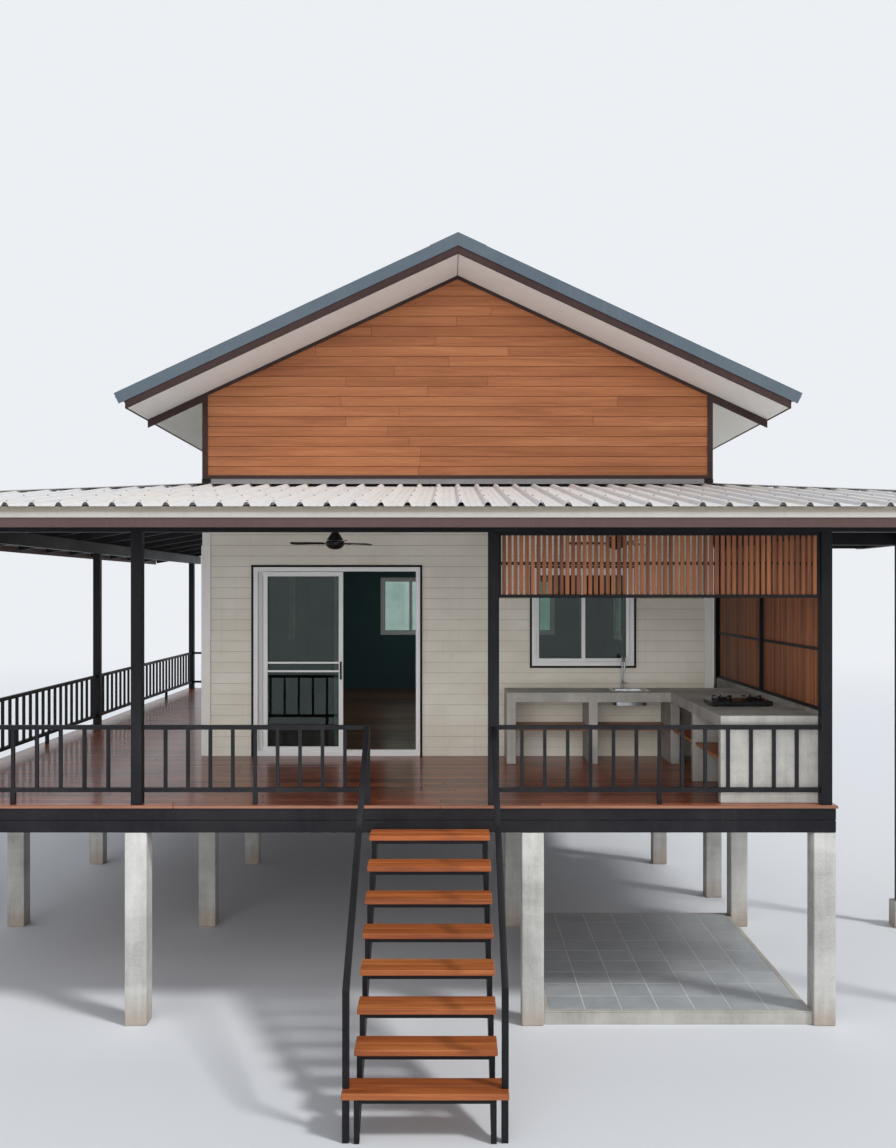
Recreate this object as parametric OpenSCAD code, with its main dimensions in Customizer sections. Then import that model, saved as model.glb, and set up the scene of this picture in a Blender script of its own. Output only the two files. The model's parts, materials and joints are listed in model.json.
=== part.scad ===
// Raised single-storey house on concrete stilts with a wrap-around verandah.
// The front faces -Y, up is +Z, and the origin is on the ground under the middle of the whole.
// A hipped ribbed-sheet roof runs round the front corners, below a plank gable.

/* [House body] */
// Width over the side walls
house_width = 6000; // [5400:100:7200]
// Depth over the end walls
house_depth = 9000; // [7500:100:11000]
// Height of the deck above the ground
deck_height = 2000; // [1800:50:2600]
// Height of the side walls above the deck
wall_height = 4250; // [4000:50:4600]
// Height above the deck where the plank gable starts
gable_line = 3170; // [3050:10:3400]
// Thickness of the outer walls
wall_thick = 120; // [90:10:160]
// Height of the ceiling board above the deck
ceiling_height = 2950; // [2700:50:3000]

/* [Main roof] */
// Pitch of the main roof in degrees
roof_pitch = 25; // [20:1:30]
// Roof overhang in front of and behind the end walls
gable_overhang = 860; // [600:20:1000]
// Overhang of the eaves beyond the side walls
side_overhang = 640; // [500:20:800]
// Number of roof trusses
truss_count = 7; // [5:1:9]

/* [Deck] */
// Depth of the front verandah
front_depth = 3000; // [2600:100:3600]
// Width of the left verandah
side_depth = 2300; // [1800:100:2800]
// Width of the deck strip right of the house
right_strip = 420; // [380:20:700]
// Length of that strip behind the front wall
right_back = 1400; // [1200:50:1800]
// Thickness of the deck boards
board_thick = 25; // [20:1:40]
// Depth of the steel floor beams
beam_deep = 220; // [180:10:260]
// Side of the square concrete stilts
stilt_side = 200; // [160:10:240]
// Middle row of stilts, measured from the middle of the house
stilt_x = 660; // [400:10:900]
// Widest spacing of the floor joists
joist_pitch = 600; // [400:10:700]
// Thickness of the tiled slab on the ground
slab_thick = 120; // [80:10:160]

/* [Verandah roof] */
// Height of the eave edge of the sheets above the deck
eave_height = 2650; // [2550:10:2750]
// Overhang of the front eave beyond the deck edge
eave_front = 840; // [600:20:1000]
// Distance from the deck edge line to the left eave
eave_side = 800; // [600:20:1000]
// Overhang of the left verandah roof behind the house
eave_rear = 600; // [300:50:800]
// Side of the square steel posts
post_side = 100; // [80:10:120]
// Height of the posts above the deck
post_height = 2479; // [2400:10:2520]
// Spacing of the sheet ribs
rib_pitch = 220; // [180:10:300]
// Height of the sheet ribs
rib_high = 35; // [25:1:40]

/* [Stair] */
// Number of treads
tread_count = 8; // [7:1:10]
// Height of the bottom tread above the ground
first_step = 360; // [300:10:400]
// Going of one step
tread_going = 260; // [240:5:300]
// Width of the treads
tread_width = 1060; // [900:20:1200]
// Extra width of the bottom tread on each side
tread_wider = 70; // [60:5:100]
// Thickness of the treads
tread_thick = 45; // [35:1:60]
// Stair centre line, measured from the middle of the house
stair_x = -270; // [-400:10:-100]

/* [Railing] */
// Height of the top rail above the deck
rail_height = 720; // [700:10:900]
// Thickness of the rails
rail_thick = 40; // [30:2:50]
// Spacing of the balusters
baluster_pitch = 210; // [120:10:240]
// Thickness of the balusters
baluster_thick = 30; // [20:2:36]

/* [Screens] */
// Spacing of the slats
slat_pitch = 52; // [45:1:80]
// Width of one slat
slat_wide = 32; // [24:1:36]
// Height above the deck of the lower edge of the front screen
screen_low = 1880; // [1800:10:2000]

/* [Kitchen counter] */
// Height of the counter top
counter_height = 800; // [740:10:860]
// Depth of the counter run along the wall
counter_deep = 600; // [560:10:640]
// Width of the counter run along the right side
counter_side = 900; // [840:10:1000]
// Length of the counter run along the wall
counter_long = 2450; // [2250:50:2600]

/* [Door and windows] */
// Width of the sliding door frame
door_wide = 1960; // [1800:20:2100]
// Height of the sliding door frame
door_high = 2220; // [2100:20:2300]
// Door centre line, measured from the middle of the house
door_x = -1420; // [-1500:10:-1350]
// Width of the windows
window_wide = 1200; // [1000:50:1300]
// Front window centre line, measured from the middle of the house
window_x = 1475; // [1300:5:1500]
// Height of the windows
window_high = 1150; // [1000:50:1200]
// Height of the window sills above the deck
window_sill = 1060; // [1000:10:1100]

/* [Fans] */
// Radius swept by the fan blades
fan_radius = 500; // [450:10:600]
// Height of the fan blades above the deck
fan_height = 2440; // [2400:10:2460]
// Place of the left fan, measured from the middle of the house
fan_left = -1285; // [-1400:5:-1150]
// Place of the right fan
fan_right = 1640; // [1300:5:1850]

/* [Hidden] */
// clearance between pieces that lie on each other
fit = 0.2;
// foot of the front gable trim above the gable line, the roof flashing ends below it
trim_foot = 90;
// depth of the rake trims on the gable, and beyond its corners
rake_thin = 36;
rake_deep = 85;
hw = house_width / 2;
y_wall = front_depth;
y_rear = front_depth + house_depth;
x_left = -hw - side_depth;
x_right = hw + right_strip;
y_strip = y_wall + right_back;
deck_top = deck_height;
frame_top = deck_top - board_thick;
frame_low = frame_top - beam_deep;
edge_in = 15;
beam_wide = 75;
post_in = 90;
x_pl = x_left + post_in;
x_pr = x_right - post_in;
y_pf = post_in;
x_pm = -hw + 60;
stair_out = tread_width / 2 + 45;
x_ps = stair_x + stair_out;
x_pe = stair_x - stair_out;
y_screen_back = y_strip - 350;
rail_z = deck_top + rail_height;
pitch_tan = tan(roof_pitch);
pitch_cos = cos(roof_pitch);
apex_z = deck_top + wall_height + hw * pitch_tan;
soffit_thick = 10;
chord_deep = 100;
purlin_deep = 50;
sheet_thick = 5;
z_purlin = soffit_thick + chord_deep + 2 * fit;
z_sheet = z_purlin + purlin_deep + fit;
ridge_wing = 250;
y_barge_f = y_wall - gable_overhang;
y_barge_r = y_rear + gable_overhang;
barge_thick = 20;
eave_run = (hw + side_overhang) / pitch_cos;
wall_run = hw / pitch_cos;
x_eave = hw + side_depth + eave_side;
y_eave = -eave_front;
y_left_end = y_rear + eave_rear;
y_right_end = y_strip;
wall_z = gable_line;
front_run = y_wall - y_eave;
side_run = x_eave - hw;
front_slope = atan((wall_z - eave_height) / front_run);
side_slope = atan((wall_z - eave_height) / side_run);
v_purlin = 50;
v_rafter = 100;
x_ground = x_eave - eave_side - post_in;
stair_front = 30 + tread_count * tread_going;
mid_y = (y_barge_r + 8 - stair_front) / 2;
wall_top = deck_top + wall_height;
fascia_thick = 20;
fan_y = y_wall / 2;
fan_z = deck_top + fan_height;
$fn = 32;

module placed() {
  translate([0, -mid_y, 0]) children();
}

// box from one corner to the opposite corner
module span(a, b) {
  translate([min(a[0], b[0]), min(a[1], b[1]), min(a[2], b[2])])
    cube([abs(b[0] - a[0]), abs(b[1] - a[1]), abs(b[2] - a[2])]);
}

// concrete stilts on a grid under the floor frame
function row_y(i) = i == 0 ? edge_in + stilt_side / 2 + 5
  : y_wall + wall_thick / 2
    + (i - 1) * (y_rear - edge_in - stilt_side / 2 - y_wall - wall_thick / 2) / 3;

module stilt(x, y) {
  span([x - stilt_side / 2, y - stilt_side / 2, 0], [x + stilt_side / 2, y + stilt_side / 2, frame_low]);
}

module stilts() {
  color([0.74, 0.74, 0.72]) placed() {
    for (i = [0 : 4]) {
      stilt(x_left + edge_in + stilt_side / 2, row_y(i));
      stilt(x_pm, row_y(i));
      stilt(stilt_x, row_y(i));
      stilt(i < 2 ? x_right - edge_in - stilt_side / 2 : hw - wall_thick / 2, row_y(i));
    }
    stilt(x_right - edge_in - stilt_side / 2, y_strip - edge_in - stilt_side / 2);
    for (y = [y_pf, y_wall])
      span([x_ground - stilt_side / 2, y - stilt_side / 2, 0],
        [x_ground + stilt_side / 2, y + stilt_side / 2, 300]);
  }
}

// tiled slab lying on the ground between the right-hand stilts
module ground_slab() {
  color([0.7, 0.7, 0.69]) placed()
    span([stilt_x + stilt_side / 2, row_y(0) - stilt_side / 2 + 40, 0],
      [x_right - edge_in - stilt_side, row_y(1) + stilt_side / 2 - 40, slab_thick]);
}

// steel floor beams on the stilts, joists welded between them
frame_e = edge_in + beam_wide / 2;
rows_y = [frame_e, row_y(1), row_y(2), row_y(3), y_rear - frame_e];
lines_x = [x_left + frame_e, x_pm, stilt_x, hw - wall_thick / 2];

module beam_x(x1, x2, y) {
  span([x1, y - beam_wide / 2, frame_low], [x2, y + beam_wide / 2, frame_top]);
}

module beam_y(x, y1, y2) {
  span([x - beam_wide / 2, y1 + beam_wide / 2 + fit, frame_low],
    [x + beam_wide / 2, y2 - beam_wide / 2 - fit, frame_top]);
}

module floor_frame() {
  color([0.13, 0.14, 0.16]) placed() {
    for (i = [0 : 4]) beam_x(x_left + edge_in, i < 2 ? x_right - edge_in : hw, rows_y[i]);
    for (x = lines_x, i = [0 : 3]) beam_y(x, rows_y[i], rows_y[i + 1]);
    beam_x(lines_x[3] + beam_wide / 2 + fit, x_right - edge_in, y_strip - frame_e);
    beam_y(x_right - frame_e, rows_y[0], rows_y[1]);
    beam_y(x_right - frame_e, rows_y[1], y_strip - frame_e);
  }
}

module floor_joists() {
  color([0.13, 0.14, 0.16]) placed()
    for (k = [0 : 2], i = [0 : 3]) {
      wide = lines_x[k + 1] - lines_x[k];
      n = ceil(wide / joist_pitch);
      for (j = [1 : n - 1]) {
        x = lines_x[k] + j * wide / n;
        span([x - 25, rows_y[i] + beam_wide / 2 + fit, frame_top - 120],
          [x + 25, rows_y[i + 1] - beam_wide / 2 - fit, frame_top]);
      }
    }
}

// deck boards outside the walls
module deck_floor() {
  color([0.45, 0.2, 0.12]) placed()
    translate([0, 0, frame_top])
      linear_extrude(board_thick)
        polygon([[x_left, 0], [x_right, 0], [x_right, y_strip], [hw, y_strip],
          [hw, y_wall], [-hw, y_wall], [-hw, y_rear], [x_left, y_rear]]);
}

module house_floor() {
  color([0.5, 0.3, 0.2]) placed()
    span([-hw + wall_thick, y_wall + wall_thick, frame_top],
      [hw - wall_thick, y_rear - wall_thick, deck_top]);
}

// straight stair with open treads
tread_rise = (deck_height - first_step) / tread_count;
function tread_nose(i) = -(30 + i * tread_going);
function tread_z(i) = deck_top - i * tread_rise;
tread_deep = tread_going + 8;

// height of the stringer's lower edge at y
function under(y) = tread_z(tread_count) - tread_thick - 120
  + (y - tread_nose(tread_count - 1) - 10) * tread_rise / tread_going;

module stringer() {
  // side outline with one seat under each tread
  n = tread_count;
  seats = [for (i = [1 : n], k = [0 : 1])
    [k == 0 ? tread_nose(i) + tread_going + 10 : tread_nose(i) + 10, tread_z(i) - tread_thick]];
  foot = tread_nose(n) + 10;
  rotate([90, 0, 90])
    linear_extrude(40)
      polygon(concat([[edge_in, under(edge_in)], [edge_in, tread_z(1) - tread_thick]], seats,
        [[foot, 0], [foot + 50, 0], [foot + 50, max(20, under(foot + 50))]]));
}

module stair_frame() {
  n = tread_count;
  color([0.13, 0.14, 0.16]) placed()
    for (s = [-1, 1]) {
      translate([stair_x + s * (tread_width / 2 - 40) - 20, 0, 0]) stringer();
      x = stair_x + s * (tread_width / 2 + tread_wider - 30);
      span([x - 25, tread_nose(n) + 20, 0], [x + 25, tread_nose(n) + 70, tread_z(n) - tread_thick]);
    }
  // cross bars between the stringers, under the front of each tread
  bar = tread_width / 2 - 60 - fit;
  color([0.13, 0.14, 0.16]) placed()
    for (i = [1 : n])
      span([stair_x - bar, tread_nose(i) + 14, tread_z(i) - tread_thick - 30],
        [stair_x + bar, tread_nose(i) + 54, tread_z(i) - tread_thick]);
}

module stair_treads() {
  n = tread_count;
  color([0.7, 0.35, 0.18]) placed()
    for (i = [1 : n]) {
      w = tread_width / 2 + (i == n ? tread_wider : 0);
      span([stair_x - w, tread_nose(i), tread_z(i) - tread_thick],
        [stair_x + w, tread_nose(i) + tread_deep, tread_z(i)]);
    }
}

// inclined handrail with its lower post, welded as one piece
module handrail(x, y_top) {
  slope = tread_rise / tread_going;
  y_low = tread_nose(tread_count) + 110;
  deep = 50 * sqrt(1 + slope * slope);
  z_end = rail_z - 6;
  low = y_low - 25;
  high = y_low + 25;
  translate([x - 25, 0, 0]) rotate([90, 0, 90])
    linear_extrude(50)
      polygon([[low, tread_z(tread_count)], [high, tread_z(tread_count)],
        [high, z_end - deep - (y_top - high) * slope], [y_top, z_end - deep], [y_top, z_end],
        [low, z_end - (y_top - low) * slope]]);
}

module stair_handrails() {
  color([0.13, 0.14, 0.16]) placed() {
    handrail(x_pe, y_pf - 25);
    handrail(x_ps, y_pf - post_side / 2);
  }
}

// black steel posts standing on the deck, two more on low plinths at the right
module post(x, y, z) {
  p = post_side / 2;
  span([x - p, y - p, z], [x + p, y + p, deck_top + post_height]);
}

module verandah_posts() {
  color([0.12, 0.13, 0.15]) placed() {
    for (x = [x_pl, x_pm, x_ps, x_pr]) post(x, y_pf, deck_top);
    for (y = [(y_pf + y_rear) / 2, y_rear - post_in]) post(x_pl, y, deck_top);
    post(x_pr, y_screen_back, deck_top);
    for (y = [y_pf, y_wall]) post(x_ground, y, 300);
  }
}

// one railing section along +X from the origin
module rail_section(length, legs) {
  t = rail_thick;
  b = baluster_thick;
  n = max(2, round(length / baluster_pitch));
  union() {
    translate([0, -t / 2, rail_height - t]) cube([length, t, t]);
    translate([0, -t / 2, 110]) cube([length, t, t]);
    for (i = [1 : n - 1])
      translate([i * length / n - b / 2, -b / 2, 110 + t / 2]) cube([b, b, rail_height - 110 - t]);
    for (k = [1 : legs])
      translate([k * length / (legs + 1) - t / 2, -t / 2, 0]) cube([t, t, 110 + t / 2]);
  }
}

module railings() {
  p = post_side / 2;
  y_mid = (y_pf + y_rear) / 2;
  color([0.12, 0.13, 0.15]) placed()
    translate([0, 0, deck_top]) {
      translate([x_pl + p, y_pf, 0]) rail_section(x_pm - x_pl - 2 * p, 1);
      union() {
        translate([x_pm + p, y_pf, 0]) rail_section(x_pe - x_pm - p, 1);
        translate([x_pe - 25, y_pf - 25, 0]) cube([50, 50, rail_height]);
      }
      translate([x_ps + p, y_pf, 0]) rail_section(x_pr - x_ps - 2 * p, 1);
      translate([x_pl, y_pf + p, 0]) rotate([0, 0, 90]) rail_section(y_mid - y_pf - 2 * p, 2);
      translate([x_pl, y_mid + p, 0]) rotate([0, 0, 90])
        rail_section(y_rear - post_in - y_mid - 2 * p, 2);
      translate([x_pl + p, y_rear - post_in, 0]) rail_section(-hw - 12 - x_pl - p, 1);
      union() {
        translate([hw, y_strip - post_in, 0]) rail_section(x_pr - 20 - hw, 0);
        translate([x_pr - 20, y_strip - post_in - 20, 0]) cube([40, 40, rail_height]);
        translate([x_pr, y_screen_back + p, 0]) rotate([0, 0, 90])
          rail_section(y_strip - post_in - y_screen_back - p - 20, 0);
      }
    }
}

// verandah roof: local frames on the three slopes, height zero on the pan of the sheets
module on_front() {
  translate([0, y_eave, deck_top + eave_height]) rotate([front_slope, 0, 0]) children();
}

module on_side(s) {
  mirror([s > 0 ? 1 : 0, 0, 0])
    translate([-x_eave, 0, deck_top + eave_height]) rotate([0, -side_slope, 0]) children();
}

module prism(points) {
  linear_extrude(deck_top + 5000) polygon(points);
}

// plan outlines of the three roof slopes, kept g away from the hip lines
function front_plan(g) = [[-x_eave + g, y_eave], [x_eave - g, y_eave], [hw - g, y_wall], [-hw + g, y_wall]];
function side_plan(y_end, g) = [[-x_eave, y_eave + g], [-hw, y_wall + g], [-hw, y_end], [-x_eave, y_end]];

module rafter_front(x, y_top) {
  run = (y_top - y_eave) / cos(front_slope);
  on_front() translate([x - 25, 0, -sheet_thick - v_purlin - v_rafter]) cube([50, run, v_rafter + 10]);
}

module rafter_side(s, y, x_top) {
  run = (x_eave - x_top) / cos(side_slope);
  on_side(s) translate([0, y - 25, -sheet_thick - v_purlin - v_rafter]) cube([run, 50, v_rafter + 10]);
}

module hip_rafter(s) {
  plan = sqrt(pow(side_run, 2) + pow(front_run, 2));
  rise = atan((wall_z - eave_height) / plan);
  mirror([s > 0 ? 1 : 0, 0, 0])
    translate([-x_eave, y_eave, deck_top + eave_height])
      rotate([0, 0, atan(front_run / side_run)])
        rotate([0, -rise, 0])
          translate([0, -30, -sheet_thick - v_purlin - v_rafter + 5])
            cube([plan / cos(rise) + 60, 60, v_rafter + v_purlin - 25]);
}

function hip_y(x) = abs(x) < hw ? y_wall : y_wall - (abs(x) - hw) * front_run / side_run;
function hip_x(y) = y > y_wall ? hw : hw + (y_wall - y) * side_run / front_run;

rafter_count = round(2 * x_eave / 1020);
rafter_step = (2 * x_eave - 60) / rafter_count;
purlin_rows = 4;
function row_front(k) = y_eave + 30 + k / purlin_rows * (front_run - 90);
function row_side(k) = x_eave - 30 - k / purlin_rows * (side_run - 90);
beam_low = deck_top + post_height;
rafter_under_f = (sheet_thick + v_purlin + v_rafter) / cos(front_slope) + 0.3;
rafter_under_s = (sheet_thick + v_purlin + v_rafter) / cos(side_slope) + 0.3;
beam_top_front = deck_top + eave_height + (y_pf - post_side / 2 - y_eave) * tan(front_slope) - rafter_under_f;
beam_top_side = deck_top + eave_height + (x_eave - x_ground - post_side / 2) * tan(side_slope) - rafter_under_s;
fan_bar_low = deck_top + eave_height + (fan_y - y_eave) * tan(front_slope) - v_rafter - v_purlin;

// left rafter of the bay that holds x, and x kept clear of the rafters on both sides
function bay_start(x) = -x_eave + 30 + floor((x + x_eave - 30) / rafter_step) * rafter_step;
function in_bay(x) = min(max(x, bay_start(x) + 110), bay_start(x) + rafter_step - 110);
fan_x = [in_bay(fan_left), in_bay(fan_right)];

// beams over the posts, the rafters resting on their outer edges
module verandah_beams() {
  p = post_side / 2;
  y1 = y_pf + p + fit;
  color([0.12, 0.13, 0.15]) placed() {
    span([-x_ground - p, y_pf - p, beam_low], [x_ground + p, y_pf + p, beam_top_front]);
    span([-x_ground - p, y1, beam_low], [-x_ground + p, y_left_end - 100, beam_top_side]);
    span([x_ground - p, y1, beam_low], [x_ground + p, y_right_end - 100, beam_top_side]);
    for (y = [y_wall, y_screen_back])
      span([hw + fit, y - p, beam_low], [x_ground - p - fit, y + p, beam_top_side]);
    span([x_pr - p, y1, beam_low], [x_pr + p, y_wall - p - fit, beam_top_front]);
    span([x_pr - p, y_wall + p + fit, beam_low], [x_pr + p, y_screen_back - p - fit, beam_top_front]);
  }
}

module front_members() {
  for (i = [0 : rafter_count]) {
    x = -x_eave + 30 + i * rafter_step;
    rafter_front(x, min(y_wall + 100, hip_y(x) + 60));
  }
  for (k = [0 : purlin_rows])
    on_front()
      translate([-x_eave, (row_front(k) - y_eave) / cos(front_slope) - 25, -sheet_thick - v_purlin])
        cube([2 * x_eave, 50, v_purlin]);
  // short bars between two rafters that carry the fans
  for (x = fan_x)
    span([bay_start(x), fan_y - 30, fan_bar_low], [bay_start(x) + rafter_step, fan_y + 30, fan_bar_low + 40]);
}

module side_members(s, y_end) {
  n = round((y_end - y_eave) / 1040);
  for (i = [0 : n]) {
    y = y_eave + 30 + i * (y_end - y_eave - 60) / n;
    rafter_side(s, y, hip_x(y) - 60);
  }
  for (k = [0 : purlin_rows])
    on_side(s)
      translate([(x_eave - row_side(k)) / cos(side_slope) - 25, y_eave, -sheet_thick - v_purlin])
        cube([50, y_end - y_eave, v_purlin]);
}

module verandah_frame() {
  color([0.12, 0.13, 0.15]) placed() {
    intersection() {
      prism(front_plan(0.1));
      union() {
        front_members();
        for (s = [-1, 1]) hip_rafter(s);
      }
    }
    for (s = [-1, 1])
      intersection() {
        mirror([s > 0 ? 1 : 0, 0, 0]) prism(side_plan(s < 0 ? y_left_end : y_right_end, 0.1));
        union() {
          side_members(s, s < 0 ? y_left_end : y_right_end);
          hip_rafter(s);
        }
      }
  }
}

// ribbed sheet profile, extruded along +Y, ribs standing up
module ribbed(width, length) {
  n = round(width / rib_pitch);
  q = width / n;
  t = sheet_thick;
  top = [for (i = [0 : n - 1], k = [0 : 3])
    [i * q + q / 2 + [-34, -15, 15, 34][k], [0, rib_high, rib_high, 0][k]]];
  low = [for (j = [0 : n - 1], k = [0 : 3])
    let (i = n - 1 - j) [i * q + q / 2 + [29, 11, -11, -29][k], [-t, rib_high - t, rib_high - t, -t][k]]];
  translate([0, length, 0]) rotate([90, 0, 0])
    linear_extrude(length)
      polygon(concat([[0, 0]], top, [[width, 0], [width, -t]], low, [[0, -t]]));
}

module side_sheet(s, y_end) {
  intersection() {
    mirror([s > 0 ? 1 : 0, 0, 0]) prism(side_plan(y_end, 4));
    on_side(s) translate([0, y_end, 0]) rotate([0, 0, -90])
      translate([0, -30, fit]) ribbed(y_end - y_eave, side_run / cos(side_slope) + 60);
  }
}

module verandah_sheets() {
  color([0.72, 0.73, 0.75]) placed() {
    intersection() {
      prism(front_plan(4));
      on_front() translate([-x_eave, -30, fit]) ribbed(2 * x_eave, front_run / cos(front_slope) + 60);
    }
    side_sheet(-1, y_left_end);
    side_sheet(1, y_right_end);
  }
}

// outline of a wall flashing, the wall at zero and the ribs below it
module flashing(slope) {
  z = deck_top + wall_z + (rib_high + 2 * fit) / cos(slope);
  z_up = deck_top + wall_z + trim_foot - 2 * fit;
  d = 130;
  fall = d * tan(slope);
  polygon([[0, z], [0, z_up], [-12, z_up], [-12, z + 5], [-d, z + 5 - fall], [-d, z - fall]]);
}

// folded caps over the hips and flashings along the walls
module verandah_flashings() {
  c = 110;
  d = c * sqrt(1 + pow(front_run / side_run, 2));
  color([0.62, 0.64, 0.66]) placed() {
    for (s = [0, 1])
      mirror([s, 0, 0])
        union() {
          intersection() {
            prism([[-x_eave, y_eave], [-x_eave + d * side_run / front_run, y_eave],
              [-hw, y_wall - d], [-hw, y_wall]]);
            on_front() translate([-x_eave, -20, rib_high + 2 * fit])
              cube([x_eave, front_run / cos(front_slope) + 40, 4]);
          }
          intersection() {
            prism([[-x_eave, y_eave], [-hw, y_wall], [-hw - d * side_run / front_run, y_wall],
              [-x_eave, y_eave + d]]);
            on_side(-1) translate([0, y_eave - 10, rib_high + 2 * fit])
              cube([side_run / cos(side_slope) + 40, front_run + 20, 4]);
          }
        }
    wf = hw - c * side_run / front_run - 12;
    translate([-wf, y_wall, 0]) rotate([90, 0, 90]) linear_extrude(2 * wf) flashing(front_slope);
    for (s = [0, 1]) {
      y_end = s == 0 ? y_rear : y_right_end;
      mirror([s, 0, 0])
        translate([-hw, y_end - 8, 0]) rotate([90, 0, 0])
          linear_extrude(y_end - y_wall - 16) flashing(side_slope);
    }
  }
}

// fascia boards along the verandah eaves, o is how far their face stands out
module eave_band(z1, z2, t, o) {
  x = x_eave + o;
  y = y_eave - o;
  translate([0, 0, deck_top]) {
    span([-x, y, z1], [x, y + t, z2]);
    span([-x, y + t + 0.2, z1], [-x + t, y_left_end, z2]);
    span([x, y + t + 0.2, z1], [x - t, y_right_end, z2]);
  }
}

// closing board at the open end of a side slope
module end_board(y, below, above) {
  d = wall_z - eave_height;
  translate([0, y + fascia_thick, deck_top])
    rotate([90, 0, 0])
      linear_extrude(fascia_thick)
        polygon([[-x_eave, eave_height - below], [-hw, eave_height + d - below],
          [-hw, eave_height + d + above], [-x_eave, eave_height + above]]);
}

module verandah_upper_fascia() {
  color([0.73, 0.7, 0.66]) placed() {
    eave_band(eave_height - 100, eave_height - 5, fascia_thick, fascia_thick);
    end_board(y_left_end, 100, rib_high + 4);
    mirror([1, 0, 0]) end_board(y_right_end, 100, rib_high + 4);
  }
}

module verandah_lower_fascia() {
  color([0.42, 0.33, 0.31]) placed()
    eave_band(eave_height - 180, eave_height - 100, fascia_thick - 8, fascia_thick - 8);
}

// slat screens: steel frames and upright wooden slats
module screen_frames() {
  p = post_side / 2;
  color([0.12, 0.13, 0.15]) placed() {
    x1 = x_ps + p;
    x2 = x_pr - p;
    union() {
      span([x1, y_pf - 20, deck_top + screen_low], [x2, y_pf + 20, deck_top + screen_low + 30]);
      span([x1, y_pf - 20, deck_top + post_height - 30], [x2, y_pf + 20, deck_top + post_height]);
      for (x = [x1, x2 - 20])
        span([x, y_pf - 20, deck_top + screen_low], [x + 20, y_pf + 20, deck_top + post_height]);
    }
    y1 = y_pf + p;
    y2 = y_screen_back - p;
    z1 = deck_top + counter_height + 40;
    z2 = deck_top + post_height;
    union() {
      span([x_pr - 20, y1, z1], [x_pr + 20, y2, z1 + 30]);
      span([x_pr - 20, y1, z2 - 30], [x_pr + 20, y2, z2]);
      for (y = [y1, (y1 + y2) / 2 - 25, y2 - 20])
        span([x_pr - 20, y, z1], [x_pr + 20, y + (y > y1 && y < y2 - 20 ? 50 : 20), z2]);
    }
  }
}

// slats of one panel, length along +X, joined by a rail behind them
module slat_panel(length, height, rail_at) {
  n = floor((length - 10) / slat_pitch);
  q = length / n;
  union() {
    for (i = [0 : n - 1])
      translate([i * q + (q - slat_wide) / 2, -12, 0]) cube([slat_wide, 18, height]);
    translate([0, 5, rail_at]) cube([length, 12, 30]);
  }
}

module screen_slats() {
  p = post_side / 2;
  color([0.55, 0.3, 0.2]) placed() {
    h1 = post_height - screen_low - 60;
    translate([x_ps + p + 20, y_pf, deck_top + screen_low + 30])
      slat_panel(x_pr - x_ps - 2 * p - 40, h1, h1 / 2);
    y1 = y_pf + p;
    y2 = y_screen_back - p;
    z1 = counter_height + 70;
    h2 = post_height - z1 - 30;
    half = (y2 - y1) / 2 - 45;
    for (y = [y1 + 20, (y1 + y2) / 2 + 25])
      translate([x_pr, y, deck_top + z1]) rotate([0, 0, 90]) slat_panel(half, h2, h2 * 0.33);
  }
}

// cast concrete counter: a run along the wall, a run along the right side and a low wall
counter_x = x_pr - 40;
run_x = hw - counter_long;
side_x = counter_x - counter_side;
counter_y = y_wall - counter_deep;
slab_deep = 110;
sink_x = side_x - 420;

module kitchen_counter() {
  z = deck_top;
  h = z + counter_height;
  y1 = y_pf + post_side / 2;
  color([0.72, 0.71, 0.68]) placed()
    difference() {
      union() {
        span([run_x, counter_y, h - slab_deep], [hw, y_wall, h]);
        span([side_x, y1, h - slab_deep], [counter_x + 1, y_wall - 12, h]);
        for (x = [run_x, run_x + (side_x - run_x) / 2, side_x])
          span([x, counter_y, z], [x + 100, y_wall, h - slab_deep]);
        span([side_x, y1, z], [counter_x, y1 + 90, h - slab_deep]);
        span([side_x, y1 + (counter_y - y1) / 2, z], [counter_x, y1 + (counter_y - y1) / 2 + 90, h]);
        span([counter_x - 70, y1, z], [counter_x + 1, y_wall - 12, h]);
        span([counter_x, y1, z], [counter_x + 80, y_screen_back - post_side / 2, h + 40]);
      }
      span([hw - 95, y_wall - 12, z - 1], [hw, y_wall + 1, h + 1]);
      span([sink_x - 190, y_wall - 430, z], [sink_x + 190, y_wall - 130, h + 10]);
    }
}

module counter_shelves() {
  z = deck_top + 370;
  m = run_x + (side_x - run_x) / 2;
  y1 = y_pf + post_side / 2;
  yc = y1 + (counter_y - y1) / 2;
  color([0.6, 0.35, 0.2]) placed() {
    span([run_x + 100, counter_y + 40, z], [m, y_wall, z + 30]);
    span([m + 100, counter_y + 40, z], [side_x, y_wall, z + 30]);
    span([side_x + 20, y1 + 90, z], [counter_x - 70, yc, z + 30]);
    span([side_x + 20, yc + 90, z], [counter_x - 70, counter_y, z + 30]);
  }
}

module sink() {
  h = deck_top + counter_height;
  color([0.8, 0.81, 0.82]) placed()
    difference() {
      union() {
        span([sink_x - 215, y_wall - 455, h], [sink_x + 215, y_wall - 105, h + 4]);
        span([sink_x - 186, y_wall - 426, h - 170], [sink_x + 186, y_wall - 134, h + 4]);
      }
      span([sink_x - 180, y_wall - 420, h - 164], [sink_x + 180, y_wall - 140, h + 10]);
      translate([sink_x, y_wall - 280, h - 180]) cylinder(h = 30, d = 45);
    }
}

// tall tap with a curved spout
module tap() {
  h = deck_top + counter_height;
  color([0.8, 0.81, 0.82]) placed()
    translate([sink_x - 40, y_wall - 60, h])
      union() {
        cylinder(h = 40, d = 46);
        cylinder(h = 300, d = 24);
        translate([0, -80, 300]) rotate([90, 0, 90]) rotate_extrude(angle = 180)
          translate([80, 0]) circle(d = 24);
        translate([0, -160, 220]) cylinder(h = 80, d = 24);
        translate([0, 0, 60]) rotate([0, 90, 0]) cylinder(h = 60, d = 14);
      }
}

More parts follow.
